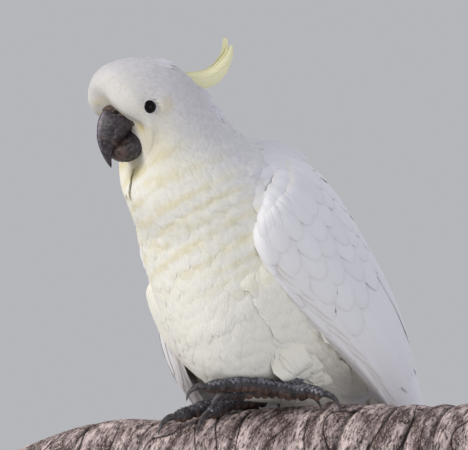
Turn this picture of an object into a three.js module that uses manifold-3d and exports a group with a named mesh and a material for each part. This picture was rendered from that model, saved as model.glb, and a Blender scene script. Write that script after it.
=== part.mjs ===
// Sulphur-crested cockatoo, life size, standing on a cut length of branch with its left foot raised.
// The branch is carried by a plain display stand: a flat base and two short rods.
// Units are millimetres, +Z is up, and the origin is the middle of the underside of the whole.
// The bird is laid out in its own frame: forward, left and up from a point on top of the branch
// between its feet. toWorld() turns that frame into the model's.

import * as THREE from 'three';
import { mergeVertices } from 'three/addons/utils/BufferGeometryUtils.js';
import Module from 'manifold-3d';

// ---------------------------------------------------------------- driving dimensions

const GAP = 0.4;                  // clearance between pieces that touch
const PERCH_TOP = 190;            // height of the branch's top under the bird
const BODY_YAW = 48;              // degrees that the body turns from -X towards -Y
const HEAD_YAW = 32;              // the head looks less far round than the body
const NECK_FORWARD = 85;          // forward place of the neck, which the head turns about
const BIRD_X = 12;
const BIRD_Y = 2;

const BRANCH_RADIUS = 47;
const BRANCH_HALF_LENGTH = 181;
const TOE_RADIUS = 5.4;
const SHANK_RADIUS = 6.2;
const EYE_RADIUS = 6;
const EYE_SIGHT_RADIUS = 4.5;     // the part of the eyeball that the lids leave open
const WING_LENGTH = 345;
const TAIL_LENGTH = 162;          // the part of the tail that stands clear of the body
const BASE_WIDTH = 300;
const BASE_DEPTH = 230;
const BASE_THICKNESS = 14;
const ROD_RADIUS = 6;
const ROD_SPACING = 150;
const ROD_FOOT_RADIUS = 15;

// Cross sections of the body from the bill to the tail root. top and bottom are [forward, up]
// in the middle plane, half is the half width, turn says how far the section follows the head and
// bow how far its sides lie in front of the line from top to bottom, from the brow down.
const BODY_SECTIONS = [
  { at: 'bill base', top: [140, 231], bottom: [122, 204], half: 11, turn: 1, bow: -1 },
  { at: 'brow', top: [153.5, 243], bottom: [120, 193], half: 23.5, turn: 1, bow: -6 },
  { at: 'forehead', top: [149, 256.5], bottom: [119, 188], half: 31, turn: 1, bow: -6 },
  { at: 'fore crown', top: [133, 264.5], bottom: [118, 185], half: 32.5, turn: 1, bow: -4 },
  { at: 'crown', top: [112, 266], bottom: [119, 180], half: 34.5, turn: 1, bow: -2 },
  { at: 'hind crown', top: [90, 259.5], bottom: [121, 173], half: 36, turn: 0.9 },
  { at: 'nape', top: [68, 244], bottom: [122, 162], half: 38, turn: 0.7 },
  { at: 'neck', top: [49, 223], bottom: [115, 147], half: 43, turn: 0.4 },
  { at: 'mantle', top: [24, 209], bottom: [102, 129], half: 51, turn: 0.15 },
  { at: 'shoulders', top: [-9, 203], bottom: [93, 108], half: 57, turn: 0 },
  { at: 'breast', top: [-42, 182], bottom: [83, 82], half: 59, turn: 0 },
  { at: 'belly', top: [-72, 152], bottom: [69, 53], half: 58, turn: 0 },
  { at: 'flank', top: [-99, 115], bottom: [48, 26], half: 50, turn: 0 },
  { at: 'vent', top: [-121, 79], bottom: [11, 9], half: 38, turn: 0 },
  { at: 'rump', top: [-140, 44], bottom: [-34, 3], half: 27, turn: 0 },
  { at: 'tail root', top: [-156, 15], bottom: [-76, -16], half: 20, turn: 0 },
];

// Cross sections of the folded wing, from the bend to the tip, as arcs round the wing's own axis.
// depth and width are the arc's half axes towards the back and to the side. from and to are the
// angles of its upper and lower edges, counted from the middle of the back. thick is its thickness.
const WING_SECTIONS = [
  { along: 0, depth: 60, width: 62, from: 66, to: 92, thick: 7 },
  { along: 0.05, depth: 75, width: 68, from: 32, to: 118, thick: 10 },
  { along: 0.14, depth: 85, width: 72, from: 13, to: 125, thick: 12 },
  { along: 0.3, depth: 89, width: 74, from: 5, to: 117, thick: 12 },
  { along: 0.5, depth: 84, width: 70, from: 4, to: 105, thick: 9 },
  { along: 0.7, depth: 68, width: 56, from: 5, to: 95, thick: 6 },
  { along: 0.86, depth: 53, width: 40, from: 6, to: 78, thick: 4 },
  { along: 1, depth: 44, width: 24, from: 20, to: 40, thick: 2 },
];
const WING_ROOT = [51, 168];      // forward and up, where the wing's axis starts
const WING_PITCH = 46.5;          // degrees that a folded wing points below the horizontal

const FEATHER_WHITE = { color: 0xf2efe6, roughness: 0.85, metalness: 0 };
const CREST_YELLOW = { color: 0xe9df8a, roughness: 0.8, metalness: 0 };
const BILL_GREY = { color: 0x39353a, roughness: 0.5, metalness: 0 };
const CERE_GREY = { color: 0x6b625c, roughness: 0.7, metalness: 0 };
const EYE_BLACK = { color: 0x0b090a, roughness: 0.08, metalness: 0 };
const FOOT_GREY = { color: 0x4c4a4c, roughness: 0.7, metalness: 0 };
const CLAW_GREY = { color: 0x3a3839, roughness: 0.45, metalness: 0 };
const BARK_BROWN = { color: 0x77665e, roughness: 0.9, metalness: 0 };
const STAND_BLACK = { color: 0x2b2a2a, roughness: 0.5, metalness: 0.2 };
const ROD_STEEL = { color: 0xb9bbbd, roughness: 0.3, metalness: 1 };

// ---------------------------------------------------------------- frame and solids

const wasm = await Module();
wasm.setup();

const radians = THREE.MathUtils.degToRad;
const lerp = THREE.MathUtils.lerp;
const smooth = THREE.MathUtils.smoothstep;

/** Point of the model for a point of the bird's frame; turn is 1 on the head and 0 on the body. */
function toWorld(forward, left, up, turn = 0) {
  const bodyYaw = radians(BODY_YAW);
  const yaw = lerp(bodyYaw, radians(HEAD_YAW), turn);
  const reach = forward - NECK_FORWARD;
  return new THREE.Vector3(
    BIRD_X - Math.cos(bodyYaw) * NECK_FORWARD - Math.cos(yaw) * reach + Math.sin(yaw) * left,
    BIRD_Y - Math.sin(bodyYaw) * NECK_FORWARD - Math.sin(yaw) * reach - Math.cos(yaw) * left,
    PERCH_TOP + up,
  );
}

/** Smooth run of numbers through the values of one key of a section list, for t from 0 to 1. */
function runOf(sections, pick) {
  const curve = new THREE.CatmullRomCurve3(
    sections.map((section) => new THREE.Vector3(...pick(section))), false, 'catmullrom', 0.5);
  return (t) => curve.getPoint(THREE.MathUtils.clamp(t, 0, 1));
}

/** The manifold of a closed three.js geometry. */
function solidOf(geometry) {
  const bare = geometry.clone();
  bare.deleteAttribute('normal');
  bare.deleteAttribute('uv');
  const merged = mergeVertices(bare, 1e-4);
  const triVerts = Uint32Array.from(merged.index.array);
  const vertProperties = Float32Array.from(merged.attributes.position.array);
  return new wasm.Manifold(new wasm.Mesh({ numProp: 3, vertProperties, triVerts }));
}

/** A sphere reshaped so that place(along, around) gives its points, both counted from 0 to 1. */
function reshape(place, alongSteps, aroundSteps) {
  const sphere = new THREE.SphereGeometry(1, aroundSteps, alongSteps);
  const { uv, position } = sphere.attributes;
  for (let i = 0; i < position.count; i += 1) {
    const point = place(1 - uv.getY(i), uv.getX(i));
    position.setXYZ(i, point.x, point.y, point.z);
  }
  const solid = solidOf(sphere);
  if (solid.volume() > 0) return solid;
  sphere.scale(-1, 1, 1);
  const flipped = solidOf(sphere);
  return flipped.mirror([1, 0, 0]);
}

/** A solid with each vertex moved outwards, to cut its neighbours with. */
function grown(solid, clearance) {
  const { vertProperties, triVerts } = solid.getMesh();
  const geometry = new THREE.BufferGeometry();
  geometry.setAttribute('position', new THREE.BufferAttribute(vertProperties, 3));
  geometry.setIndex(new THREE.BufferAttribute(triVerts, 1));
  geometry.computeVertexNormals();
  const { position, normal } = geometry.attributes;
  const [point, outwards] = [new THREE.Vector3(), new THREE.Vector3()];
  for (let i = 0; i < position.count; i += 1) {
    point.fromBufferAttribute(position, i);
    point.addScaledVector(outwards.fromBufferAttribute(normal, i), clearance);
    position.setXYZ(i, point.x, point.y, point.z);
  }
  return new wasm.Manifold(new wasm.Mesh({ numProp: 3, vertProperties, triVerts }));
}

/** The largest of a solid's separate pieces. */
function largest(solid) {
  const pieces = solid.decompose();
  return pieces.reduce((best, piece) => (piece.volume() > best.volume() ? piece : best));
}

/** Named mesh of a manifold in one of the finishes above. */
function part(name, solid, finish) {
  const { vertProperties, triVerts } = solid.getMesh();
  const geometry = new THREE.BufferGeometry();
  geometry.setAttribute('position', new THREE.BufferAttribute(vertProperties, 3));
  geometry.setIndex(new THREE.BufferAttribute(triVerts, 1));
  geometry.computeVertexNormals();
  const mesh = new THREE.Mesh(geometry, new THREE.MeshStandardMaterial(finish));
  mesh.name = name;
  return mesh;
}

/** Half-round end: 0 at the tip and 1 once t is past the length of the cap. */
function endRounding(t, cap) {
  const rest = 1 - THREE.MathUtils.clamp(t / cap, 0, 1);
  return Math.sqrt(1 - rest * rest);
}

// ---------------------------------------------------------------- body

const BODY_CAPS = [0.05, 0.04];    // share of the body's length that its rounded ends take
const HEAD_END = 0.36;            // steps of the body where the head and the neck end
const NECK_END = 0.52;

const bodyTop = runOf(BODY_SECTIONS, ({ top }) => [top[0], 0, top[1]]);
const bodyBottom = runOf(BODY_SECTIONS, ({ bottom }) => [bottom[0], 0, bottom[1]]);
const bodyHalf = runOf(BODY_SECTIONS, ({ half, turn, bow = 0 }) => [half, turn, bow]);

/** Body surface: an ellipse from top to bottom at each step, closed by half-round ends. */
function bodySolid() {
  return reshape((along, around) => {
    const top = bodyTop(along);
    const bottom = bodyBottom(along);
    const { x: half, y: turn, z: bow } = bodyHalf(along);
    const round = endRounding(along, BODY_CAPS[0]) * endRounding(1 - along, BODY_CAPS[1]);
    const angle = around * 2 * Math.PI;
    const middle = top.clone().add(bottom).multiplyScalar(0.5);
    const rise = top.clone().sub(middle);
    rise.multiplyScalar(round * Math.cos(angle));
    const side = half * round * Math.sin(angle);
    const cheek = (round * Math.sin(angle)) ** 2 * smooth(-Math.cos(angle), -0.35, 0.15);
    const forward = middle.x + rise.x + bow * cheek;
    return toWorld(forward, side, middle.z + rise.z, turn);
  }, 27, 16);
}

const body = bodySolid();

/** Plane through a step of the body, square to the way that the body runs there. */
function crossPlane(along) {
  const section = (t) => {
    const middle = bodyTop(t).add(bodyBottom(t)).multiplyScalar(0.5);
    return toWorld(middle.x, 0, middle.z, bodyHalf(t).y);
  };
  const { y: turn } = bodyHalf(along);
  const top = bodyTop(along);
  const bottom = bodyBottom(along);
  const rise = toWorld(top.x, 0, top.z, turn).sub(toWorld(bottom.x, 0, bottom.z, turn));
  const side = toWorld(0, 1, 0, turn).sub(toWorld(0, 0, 0, turn));
  const normal = rise.cross(side).normalize();
  if (normal.dot(section(along + 0.05).sub(section(along - 0.05))) < 0) normal.negate();
  return { normal, offset: normal.dot(section(along)) };
}

/** The body between two steps, short of each by half the gap. */
function bodyLength(from, to) {
  let piece = body;
  if (from > 0) {
    const { normal, offset } = crossPlane(from);
    piece = piece.trimByPlane(normal.toArray(), offset + GAP / 2);
  }
  if (to < 1) {
    const { normal, offset } = crossPlane(to);
    piece = piece.trimByPlane(normal.negate().toArray(), -offset + GAP / 2);
  }
  return largest(piece);
}

// ---------------------------------------------------------------- bill, cere and eyes

// Upper bill: top and bottom of its sections as [forward, up], from the cere to the hooked tip.
const BILL_SECTIONS = [
  { top: [140.5, 233], bottom: [118, 217], half: 12 },
  { top: [148.5, 228.5], bottom: [126, 213], half: 12.5 },
  { top: [153.2, 221], bottom: [132, 208], half: 12 },
  { top: [154.2, 212], bottom: [138, 203], half: 10 },
  { top: [152.8, 203], bottom: [142, 197.5], half: 7 },
  { top: [148.8, 194], bottom: [143, 191], half: 4 },
  { top: [143, 184.6], bottom: [141.8, 185.8], half: 1 },
];
// Lower bill: a deep scoop that closes against the upper one from below.
const LOWER_BILL_SECTIONS = [
  { top: [112, 212], bottom: [114, 196], half: 11 },
  { top: [121, 214], bottom: [119.5, 190.5], half: 13 },
  { top: [129, 210.5], bottom: [127, 187.5], half: 13 },
  { top: [137, 204], bottom: [134.5, 188.5], half: 11 },
  { top: [143, 197], bottom: [140, 192], half: 7 },
];
const RIDGE = 0.38;               // how much the horn narrows towards its ridge
const EYE_PLACE = { forward: 124.4, left: 32.2, up: 230 };
const CERE_EDGE = [148, 0, 229];  // where the cere ends on the ridge of the bill
const CERE_DEPTH = 1.6;           // how far the cere stands out from the bill
const CERE_SLOPE = 1.1;           // rise of its back face for each millimetre that it goes back
const HORN_CAPS = [0.06, 0.1];

/** Horn of the bill: narrow at the ridge on top, full above the cutting edges. */
function hornSolid(sections, grow, alongSteps) {
  const top = runOf(sections, (section) => [section.top[0], 0, section.top[1]]);
  const bottom = runOf(sections, (section) => [section.bottom[0], 0, section.bottom[1]]);
  const half = runOf(sections, (section) => [section.half, 0, 0]);
  return reshape((along, around) => {
    const upper = top(along);
    const lower = bottom(along);
    const round = endRounding(along, HORN_CAPS[0]) * endRounding(1 - along, HORN_CAPS[1]);
    const angle = around * 2 * Math.PI;
    const middle = upper.clone().add(lower).multiplyScalar(0.5);
    const rise = upper.clone().sub(middle);
    rise.setLength(rise.length() + grow).multiplyScalar(round * Math.cos(angle));
    const ridge = 1 - RIDGE * Math.max(Math.cos(angle), 0) ** 2;
    const side = (half(along).x * ridge + grow) * round * Math.sin(angle);
    return toWorld(middle.x + rise.x, side, middle.z + rise.z, 1);
  }, alongSteps, 10);
}

const upperHorn = hornSolid(BILL_SECTIONS, 0, 12);
const lowerHorn = hornSolid(LOWER_BILL_SECTIONS, 0, 8);

/** Cere: a collar round the root of the upper bill, cut off square to the bill's root. */
function cereSolid() {
  const backwards = toWorld(-1, 0, CERE_SLOPE, 1).sub(toWorld(0, 0, 0, 1)).normalize();
  const edge = toWorld(...CERE_EDGE, 1);
  return hornSolid(BILL_SECTIONS, CERE_DEPTH, 12)
    .trimByPlane(backwards.toArray(), backwards.dot(edge));
}

/** Eyeball set so deep that the lids' opening is EYE_SIGHT_RADIUS wide. */
function eyeSolid(sideSign) {
  const depth = Math.sqrt(EYE_RADIUS ** 2 - EYE_SIGHT_RADIUS ** 2);
  const middle = toWorld(EYE_PLACE.forward, sideSign * (EYE_PLACE.left - depth), EYE_PLACE.up, 1);
  const ball = new THREE.SphereGeometry(EYE_RADIUS, 12, 7);
  ball.translate(...middle.toArray());
  return solidOf(ball);
}

// ---------------------------------------------------------------- crest

const PLUME_COUNT = 5;
const PLUME_WIDTH = 9.5;
const PLUME_THICKNESS = 3.2;
const PLUME_SHORTENING = 0.2;     // how much shorter the last plume is than the first
const PLUME_SPLAY = 2.2;          // sideways step between the three rows of plumes
const PLUME_FAN = [-4.5, 6];      // offsets of the first and last plume across the crest line
// Middle line of the crest as [forward, up]: back along the crown and up into the swept tips.
const CREST_LINE = [[88, 252], [73, 251], [58, 251], [48, 255], [40.5, 261.5], [35.5, 269.5],
  [34, 281.5]];

/** One crest plume: a flat blade along the crest line, offset across the fan of plumes. */
function plumeSolid(index) {
  const fan = index / (PLUME_COUNT - 1);            // 0 is the front, highest plume
  const line = new THREE.CatmullRomCurve3(
    CREST_LINE.map(([forward, up]) => new THREE.Vector3(forward, 0, up)), false, 'catmullrom', 0.5);
  const reach = 1 - PLUME_SHORTENING * fan;
  const side = ((index % 3) - 1) * PLUME_SPLAY;
  return reshape((along, around) => {
    const middle = line.getPoint(along * reach);
    const tangent = line.getTangent(along * reach);
    const across = new THREE.Vector3(-tangent.z, 0, tangent.x);
    const taper = endRounding(along, 0.08) * endRounding(1 - along, 0.05)
      * (1 - smooth(along, 0.72, 1) * 0.7);
    const offset = lerp(...PLUME_FAN, fan) * lerp(0.35, 1, along);
    const angle = around * 2 * Math.PI;
    const flat = PLUME_WIDTH / 2 * taper * Math.cos(angle) + offset;
    const thick = PLUME_THICKNESS / 2 * taper * Math.sin(angle) + side * lerp(0.6, 1.2, along);
    const point = middle.addScaledVector(across, flat);
    return toWorld(point.x, thick, point.z, 1);
  }, 10, 6);
}

// White plumes that cover the crest's root: their line over the crown and their width.
const COVER_LINE = [[120, 262], [98, 267], [76, 258]];
const COVER_WIDTH = 9;
const COVER_THICKNESS = 3;

/** The cover plumes as one blade that ends in a point over the hind crown. */
function coverSolid() {
  const line = new THREE.QuadraticBezierCurve3(
    ...COVER_LINE.map(([forward, up]) => new THREE.Vector3(forward, 0, up)));
  return reshape((along, around) => {
    const middle = line.getPoint(along);
    const taper = endRounding(along, 0.1) * endRounding(1 - along, 0.05)
      * (1 - 0.8 * smooth(along, 0.45, 1));
    const angle = around * 2 * Math.PI;
    return toWorld(middle.x, COVER_WIDTH * taper * Math.cos(angle),
      middle.z + COVER_THICKNESS * (taper * Math.sin(angle) - 1), 1);
  }, 6, 6);
}

const plumes = Array.from({ length: PLUME_COUNT }, (_, index) => plumeSolid(index));
const crestWhole = plumes.reduce((sum, plume) => sum.add(plume));

// ---------------------------------------------------------------- wings and tail

// The far wing hangs a little lower and further out than the near one.
const WINGS = {
  left: { side: 1, droop: 0, forward: 0, up: 0, bendWidth: 1, midWidth: 1, wrap: 0 },
  right: { side: -1, droop: 4, forward: 6, up: -8, bendWidth: 0.9, midWidth: 1.16, wrap: 17 },
};

/** Folded wing: an arc shell round its own axis, thick at the bend and thin at the tip. */
function wingSolid({ side, droop, forward, up, bendWidth, midWidth, wrap }) {
  const arcs = runOf(WING_SECTIONS, ({ depth, width, thick }) => [depth, width, thick]);
  const edges = runOf(WING_SECTIONS, ({ from, to, along }) => [from, to, along]);
  const pitch = radians(WING_PITCH + droop);
  return reshape((along, around) => {
    const { x: depth, y: width, z: thick } = arcs(along);
    const { x: from, y: to, z: reach } = edges(along);
    const round = endRounding(along, 0.05) * endRounding(1 - along, 0.05);
    const turn = around * 2 * Math.PI;
    const across = 0.5 - 0.5 * Math.cos(turn) * round;
    const layer = Math.sin(turn) * round;
    const spread = smooth(reach, 0.12, 0.4) * (1 - smooth(reach, 0.6, 1));
    const angle = radians(lerp(from, to + wrap * spread, across));
    const inwards = thick * (0.5 - 0.5 * layer);
    const back = (depth - inwards) * Math.cos(angle);
    const out = (width * lerp(bendWidth, midWidth, spread) - inwards) * Math.sin(angle);
    return toWorld(
      WING_ROOT[0] + forward - Math.cos(pitch) * WING_LENGTH * reach - Math.sin(pitch) * back,
      side * out,
      WING_ROOT[1] + up - Math.sin(pitch) * WING_LENGTH * reach + Math.cos(pitch) * back,
    );
  }, 18, 13);
}

const TAIL_ROOT = [-126, 22];
const TAIL_PITCH = 53;
const TAIL_HALF_WIDTHS = [16, 22, 29, 35, 38, 33];
const TAIL_HALF_THICKNESSES = [14, 10, 7, 5, 3.6, 2.2];
const TAIL_CROWN = 9;             // how far the tail's middle stands above its edges

/** Closed tail: a shallow roof of long feathers with a rounded end. */
function tailSolid() {
  const sizes = runOf(TAIL_HALF_WIDTHS.map((half, index) => ({ half, index })),
    ({ half, index }) => [half, TAIL_HALF_THICKNESSES[index], 0]);
  const pitch = radians(TAIL_PITCH);
  return reshape((along, around) => {
    const { x: half, y: thick } = sizes(along);
    const angle = around * 2 * Math.PI;
    const side = half * endRounding(along, 0.08) * endRounding(1 - along, 0.12) * Math.cos(angle);
    const roof = TAIL_CROWN * (1 - (side / half) ** 2);
    const rise = thick * endRounding(along, 0.08) * endRounding(1 - along, 0.03) * Math.sin(angle)
      + roof;
    const length = TAIL_LENGTH * along;
    return toWorld(TAIL_ROOT[0] - Math.cos(pitch) * length - Math.sin(pitch) * rise, side,
      TAIL_ROOT[1] - Math.sin(pitch) * length + Math.cos(pitch) * rise);
  }, 10, 12);
}

// ---------------------------------------------------------------- branch

// Height of the branch's top, against PERCH_TOP, at even steps from its left end to its right.
const BRANCH_RISE = [-36, -22, -11, -5.5, -6, -3, 1, 4, 4.5, 5.5, 5, 5.5];

const branchRise = new THREE.SplineCurve(
  BRANCH_RISE.map((rise, index) => new THREE.Vector2(index, rise)));

/** Height of the middle of the branch at a place along it. */
function branchMiddle(x) {
  const t = THREE.MathUtils.clamp((x + BRANCH_HALF_LENGTH) / (2 * BRANCH_HALF_LENGTH), 0, 1);
  return PERCH_TOP + branchRise.getPoint(t).y - BRANCH_RADIUS;
}

/** Height on the branch of the middle of a round toe that lies on it. */
function onBranch(x, y, radius) {
  const reach = BRANCH_RADIUS + radius + 2 * GAP;
  return branchMiddle(x) + Math.sqrt(Math.max(reach * reach - y * y, 0));
}

/** Branch with sawn ends: a cylinder along X, bent to its rise. */
function branchSolid() {
  const log = new THREE.CylinderGeometry(1, 1, 2 * BRANCH_HALF_LENGTH, 16, 12);
  log.rotateZ(Math.PI / 2);
  const { position } = log.attributes;
  for (let i = 0; i < position.count; i += 1) {
    const x = position.getX(i);
    position.setXYZ(i, x, position.getY(i) * BRANCH_RADIUS,
      position.getZ(i) * BRANCH_RADIUS + branchMiddle(x));
  }
  return solidOf(log);
}

// ---------------------------------------------------------------- legs and feet

/** Round limb through world points, with a radius for each point and half-round ends. */
function limbSolid(points, radii, alongSteps, aroundSteps, swell = () => 0) {
  const line = new THREE.CatmullRomCurve3(points, false, 'catmullrom', 0.5);
  const sizes = runOf(radii.map((radius) => ({ radius })), ({ radius }) => [radius, 0, 0]);
  const chord = points[points.length - 1].clone().sub(points[0]);
  const aside = chord.clone().cross(new THREE.Vector3(0, 0, 1)).normalize();
  return reshape((along, around) => {
    const middle = line.getPoint(along);
    const tangent = line.getTangent(along);
    const lift = aside.clone().cross(tangent).normalize();
    const angle = around * 2 * Math.PI;
    const size = (sizes(along).x + swell(along, angle))
      * endRounding(along, 0.1) * endRounding(1 - along, 0.1);
    return middle.addScaledVector(aside, size * Math.cos(angle))
      .addScaledVector(lift, size * Math.sin(angle));
  }, alongSteps, aroundSteps);
}

const PAD_SWELL = 0.9;            // how far a toe swells at each of its pads
const ROOT_OVERLAP = 6;           // how far the toes run into each other at the foot's root

// Toes of each foot: heading in degrees from +X, length without the claw, and joints between pads.
// The standing foot's toes lie round the branch; the raised foot's are held clear of it.
const FEET = {
  right: {
    raised: false,
    root: [4, 3],
    toes: [
      { name: 'inner', heading: 232, length: 38, pads: 3 },
      { name: 'outer', heading: 211, length: 58, pads: 4 },
      { name: 'hind_outer', heading: 70, length: 46, pads: 4 },
      { name: 'hind_inner', heading: 30, length: 25, pads: 2 },
    ],
  },
  left: {
    raised: true,
    root: [44, -25],
    lift: 11,
    toes: [
      { name: 'inner', heading: 187, length: 48, pads: 3, drop: -3, arch: 2 },
      { name: 'outer', heading: 200, length: 71, pads: 4, drop: 3, arch: 4 },
      { name: 'hind_outer', heading: 352, length: 24, pads: 3, drop: -3, arch: 2 },
      { name: 'hind_inner', heading: 8, length: 13, pads: 2, drop: -4, arch: 1 },
    ],
  },
};

/** Point down the middle of a toe, at a distance from the foot's root. */
function toePoint({ raised, root, lift }, { heading, length, drop, arch }, distance) {
  const way = radians(heading);
  const share = distance / length;
  const x = root[0] + Math.cos(way) * distance;
  const y = root[1] + Math.sin(way) * distance;
  const z = raised
    ? onBranch(root[0], root[1], TOE_RADIUS) + lift + drop * share + arch * Math.sin(Math.PI * share)
    : onBranch(x, y, TOE_RADIUS + PAD_SWELL);
  return new THREE.Vector3(x, y, z);
}

/** Points down the middle of a toe, from just behind the foot's root to the root of its claw. */
function toeLine(foot, toe) {
  const steps = 6;
  return Array.from({ length: steps + 1 }, (_, step) => (
    toePoint(foot, toe, lerp(-ROOT_OVERLAP, toe.length, step / steps))));
}

/** One toe with a swelling for each pad. */
function toeSolid(foot, toe) {
  const pad = (along) => PAD_SWELL * Math.abs(Math.sin(Math.PI * toe.pads * along)) - PAD_SWELL / 2;
  return limbSolid(toeLine(foot, toe), [TOE_RADIUS + 0.8, TOE_RADIUS, TOE_RADIUS - 0.4,
    TOE_RADIUS - 1.2], 8, 6, pad);
}

// Claw: its middle line as [ahead, up] from the toe's tip, and the radius at each of those points.
const CLAW_LINE = [[-3, 0.4], [3, 1.8], [8.5, 0.6], [12.5, -3.2], [14, -8]];
const CLAW_RADII = [2.6, 2.7, 2.1, 1.3, 0.5];
const SMALL_CLAW = 0.75;          // size of the innermost toe's claw against the others

/** Claw: a horn that leaves the toe's tip and curves down to a point. */
function clawSolid(foot, toe) {
  const [before, tip] = toeLine(foot, toe).slice(-2);
  const way = tip.clone().sub(before).normalize();
  const upwards = new THREE.Vector3(0, 0, 1);
  const size = toe.pads === 2 ? SMALL_CLAW : 1;
  const line = CLAW_LINE.map(([ahead, up]) => (
    tip.clone().addScaledVector(way, ahead * size).addScaledVector(upwards, up * size)));
  return limbSolid(line, CLAW_RADII.map((radius) => radius * size), 7, 6);
}

// Ankles and hips in the bird's frame. The feathered thigh runs between them, into the trunk.
const LEGS = {
  left: { ankle: [-26, 26, 30], hip: [8, 31, 92] },
  right: { ankle: [-20, -24, 18], hip: [8, -31, 88] },
};
const THIGH_RADII = [10, 20, 26, 22];   // from the ankle up

/** Ends of a thigh in the model's frame. */
function legPoints(name) {
  const { ankle, hip } = LEGS[name];
  return [toWorld(...ankle), toWorld(...hip)];
}

/** Scaly shank between the foot's root and the thigh. */
function shankSolid(name, foot) {
  const root = toePoint(foot, foot.toes[0], 0);
  const [ankle, hip] = legPoints(name);
  return limbSolid([root, root.clone().lerp(ankle, 0.6), ankle, ankle.clone().lerp(hip, 0.2)],
    [SHANK_RADIUS, SHANK_RADIUS, SHANK_RADIUS + 0.6, SHANK_RADIUS], 7, 8);
}

/** Feathered thigh. */
function thighSolid(name) {
  const [ankle, hip] = legPoints(name);
  return limbSolid([0, 0.33, 0.67, 1].map((share) => ankle.clone().lerp(hip, share)),
    THIGH_RADII, 8, 10);
}

// ---------------------------------------------------------------- stand

/** Flat base with rounded corners and a bevelled top edge. */
function baseSolid() {
  const corner = 24;
  const bevel = 2;
  const width = BASE_WIDTH - 2 * bevel;
  const depth = BASE_DEPTH - 2 * bevel;
  const outline = new THREE.Shape();
  outline.moveTo(-width / 2 + corner, -depth / 2);
  outline.lineTo(width / 2 - corner, -depth / 2);
  outline.absarc(width / 2 - corner, -depth / 2 + corner, corner, -Math.PI / 2, 0);
  outline.absarc(width / 2 - corner, depth / 2 - corner, corner, 0, Math.PI / 2);
  outline.absarc(-width / 2 + corner, depth / 2 - corner, corner, Math.PI / 2, Math.PI);
  outline.absarc(-width / 2 + corner, -depth / 2 + corner, corner, Math.PI, 1.5 * Math.PI);
  const plate = new THREE.ExtrudeGeometry(outline, {
    depth: BASE_THICKNESS - 2 * bevel, bevelThickness: bevel, bevelSize: bevel,
    bevelSegments: 1, curveSegments: 3 });
  plate.translate(0, 0, bevel);
  return solidOf(plate);
}

/** Rod with a turned foot, from the base up into the branch. */
function rodSolid(x) {
  const low = BASE_THICKNESS + GAP;
  const high = branchMiddle(x) - BRANCH_RADIUS * 0.6;
  const shoulder = lerp(ROD_RADIUS, ROD_FOOT_RADIUS, 0.45);
  const profile = [[0, low], [ROD_FOOT_RADIUS, low], [ROD_FOOT_RADIUS, low + 4], [shoulder, low + 7],
    [ROD_RADIUS, low + 9], [ROD_RADIUS, high], [0, high]].map(([r, z]) => new THREE.Vector2(r, z));
  const rod = new THREE.LatheGeometry(profile, 12);
  rod.rotateX(Math.PI / 2);
  rod.translate(x, 0, 0);
  return solidOf(rod);
}

// ---------------------------------------------------------------- pieces put together

/** A solid less its neighbours and the gap round each of them. */
const clearOf = (solid, neighbours, clearance = GAP) => largest(
  neighbours.reduce((rest, neighbour) => rest.subtract(grown(neighbour, clearance)), solid));

const model = new THREE.Group();
const add = (name, solid, finish) => model.add(part(name, solid, finish));

const eyes = { left: eyeSolid(1), right: eyeSolid(-1) };
const cere = cereSolid();
const claws = {};
const feet = {};
const thighs = {};
Object.entries(FEET).forEach(([name, foot]) => {
  claws[name] = foot.toes.map((toe) => clawSolid(foot, toe));
  thighs[name] = thighSolid(name);
  const whole = foot.toes.reduce((sum, toe) => sum.add(toeSolid(foot, toe)), shankSolid(name, foot));
  feet[name] = clearOf(whole, [...claws[name], thighs[name]]);
});
const legs = [...Object.values(thighs), ...Object.values(feet)];
const trunk = clearOf(bodyLength(NECK_END, 1), [...legs, ...claws.right.slice(2)]);
const neck = bodyLength(HEAD_END, NECK_END);
const skull = bodyLength(0, HEAD_END).add(coverSolid());
const tail = tailSolid();
const wings = Object.entries(WINGS).map(([name, pose]) => (
  [name, clearOf(wingSolid(pose), [body, tail, ...legs])]));

add('head', clearOf(skull.subtract(grown(cere, 2 * GAP)),
  [upperHorn, lowerHorn, eyes.left, eyes.right]), FEATHER_WHITE);
add('crest', clearOf(crestWhole, [skull, neck]), CREST_YELLOW);
add('cere', clearOf(cere, [upperHorn]), CERE_GREY);
add('bill_upper', upperHorn, BILL_GREY);
add('bill_lower', clearOf(lowerHorn, [upperHorn, cere]), BILL_GREY);
Object.entries(eyes).forEach(([name, eye]) => add(`eye_${name}`, eye, EYE_BLACK));

add('neck', neck, FEATHER_WHITE);
add('trunk', trunk, FEATHER_WHITE);
wings.forEach(([name, wing]) => add(`wing_${name}`, wing, FEATHER_WHITE));
add('tail', clearOf(tail, [body]), FEATHER_WHITE);

Object.entries(FEET).forEach(([name, foot]) => {
  add(`thigh_${name}`, thighs[name], FEATHER_WHITE);
  add(`foot_${name}`, feet[name], FOOT_GREY);
  foot.toes.forEach((toe, index) => add(`claw_${name}_${toe.name}`, claws[name][index], CLAW_GREY));
});

const rods = { left: rodSolid(-ROD_SPACING / 2), right: rodSolid(ROD_SPACING / 2) };
add('perch_branch', clearOf(branchSolid(), Object.values(rods)), BARK_BROWN);
add('stand_base', baseSolid(), STAND_BLACK);
Object.entries(rods).forEach(([name, rod]) => add(`stand_rod_${name}`, rod, ROD_STEEL));

// The origin goes to the middle of the underside of the whole.
model.updateMatrixWorld(true);
const extent = new THREE.Box3().setFromObject(model);
const middle = extent.getCenter(new THREE.Vector3());
model.position.set(-middle.x, -middle.y, -extent.min.z);

export default model;
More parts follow.
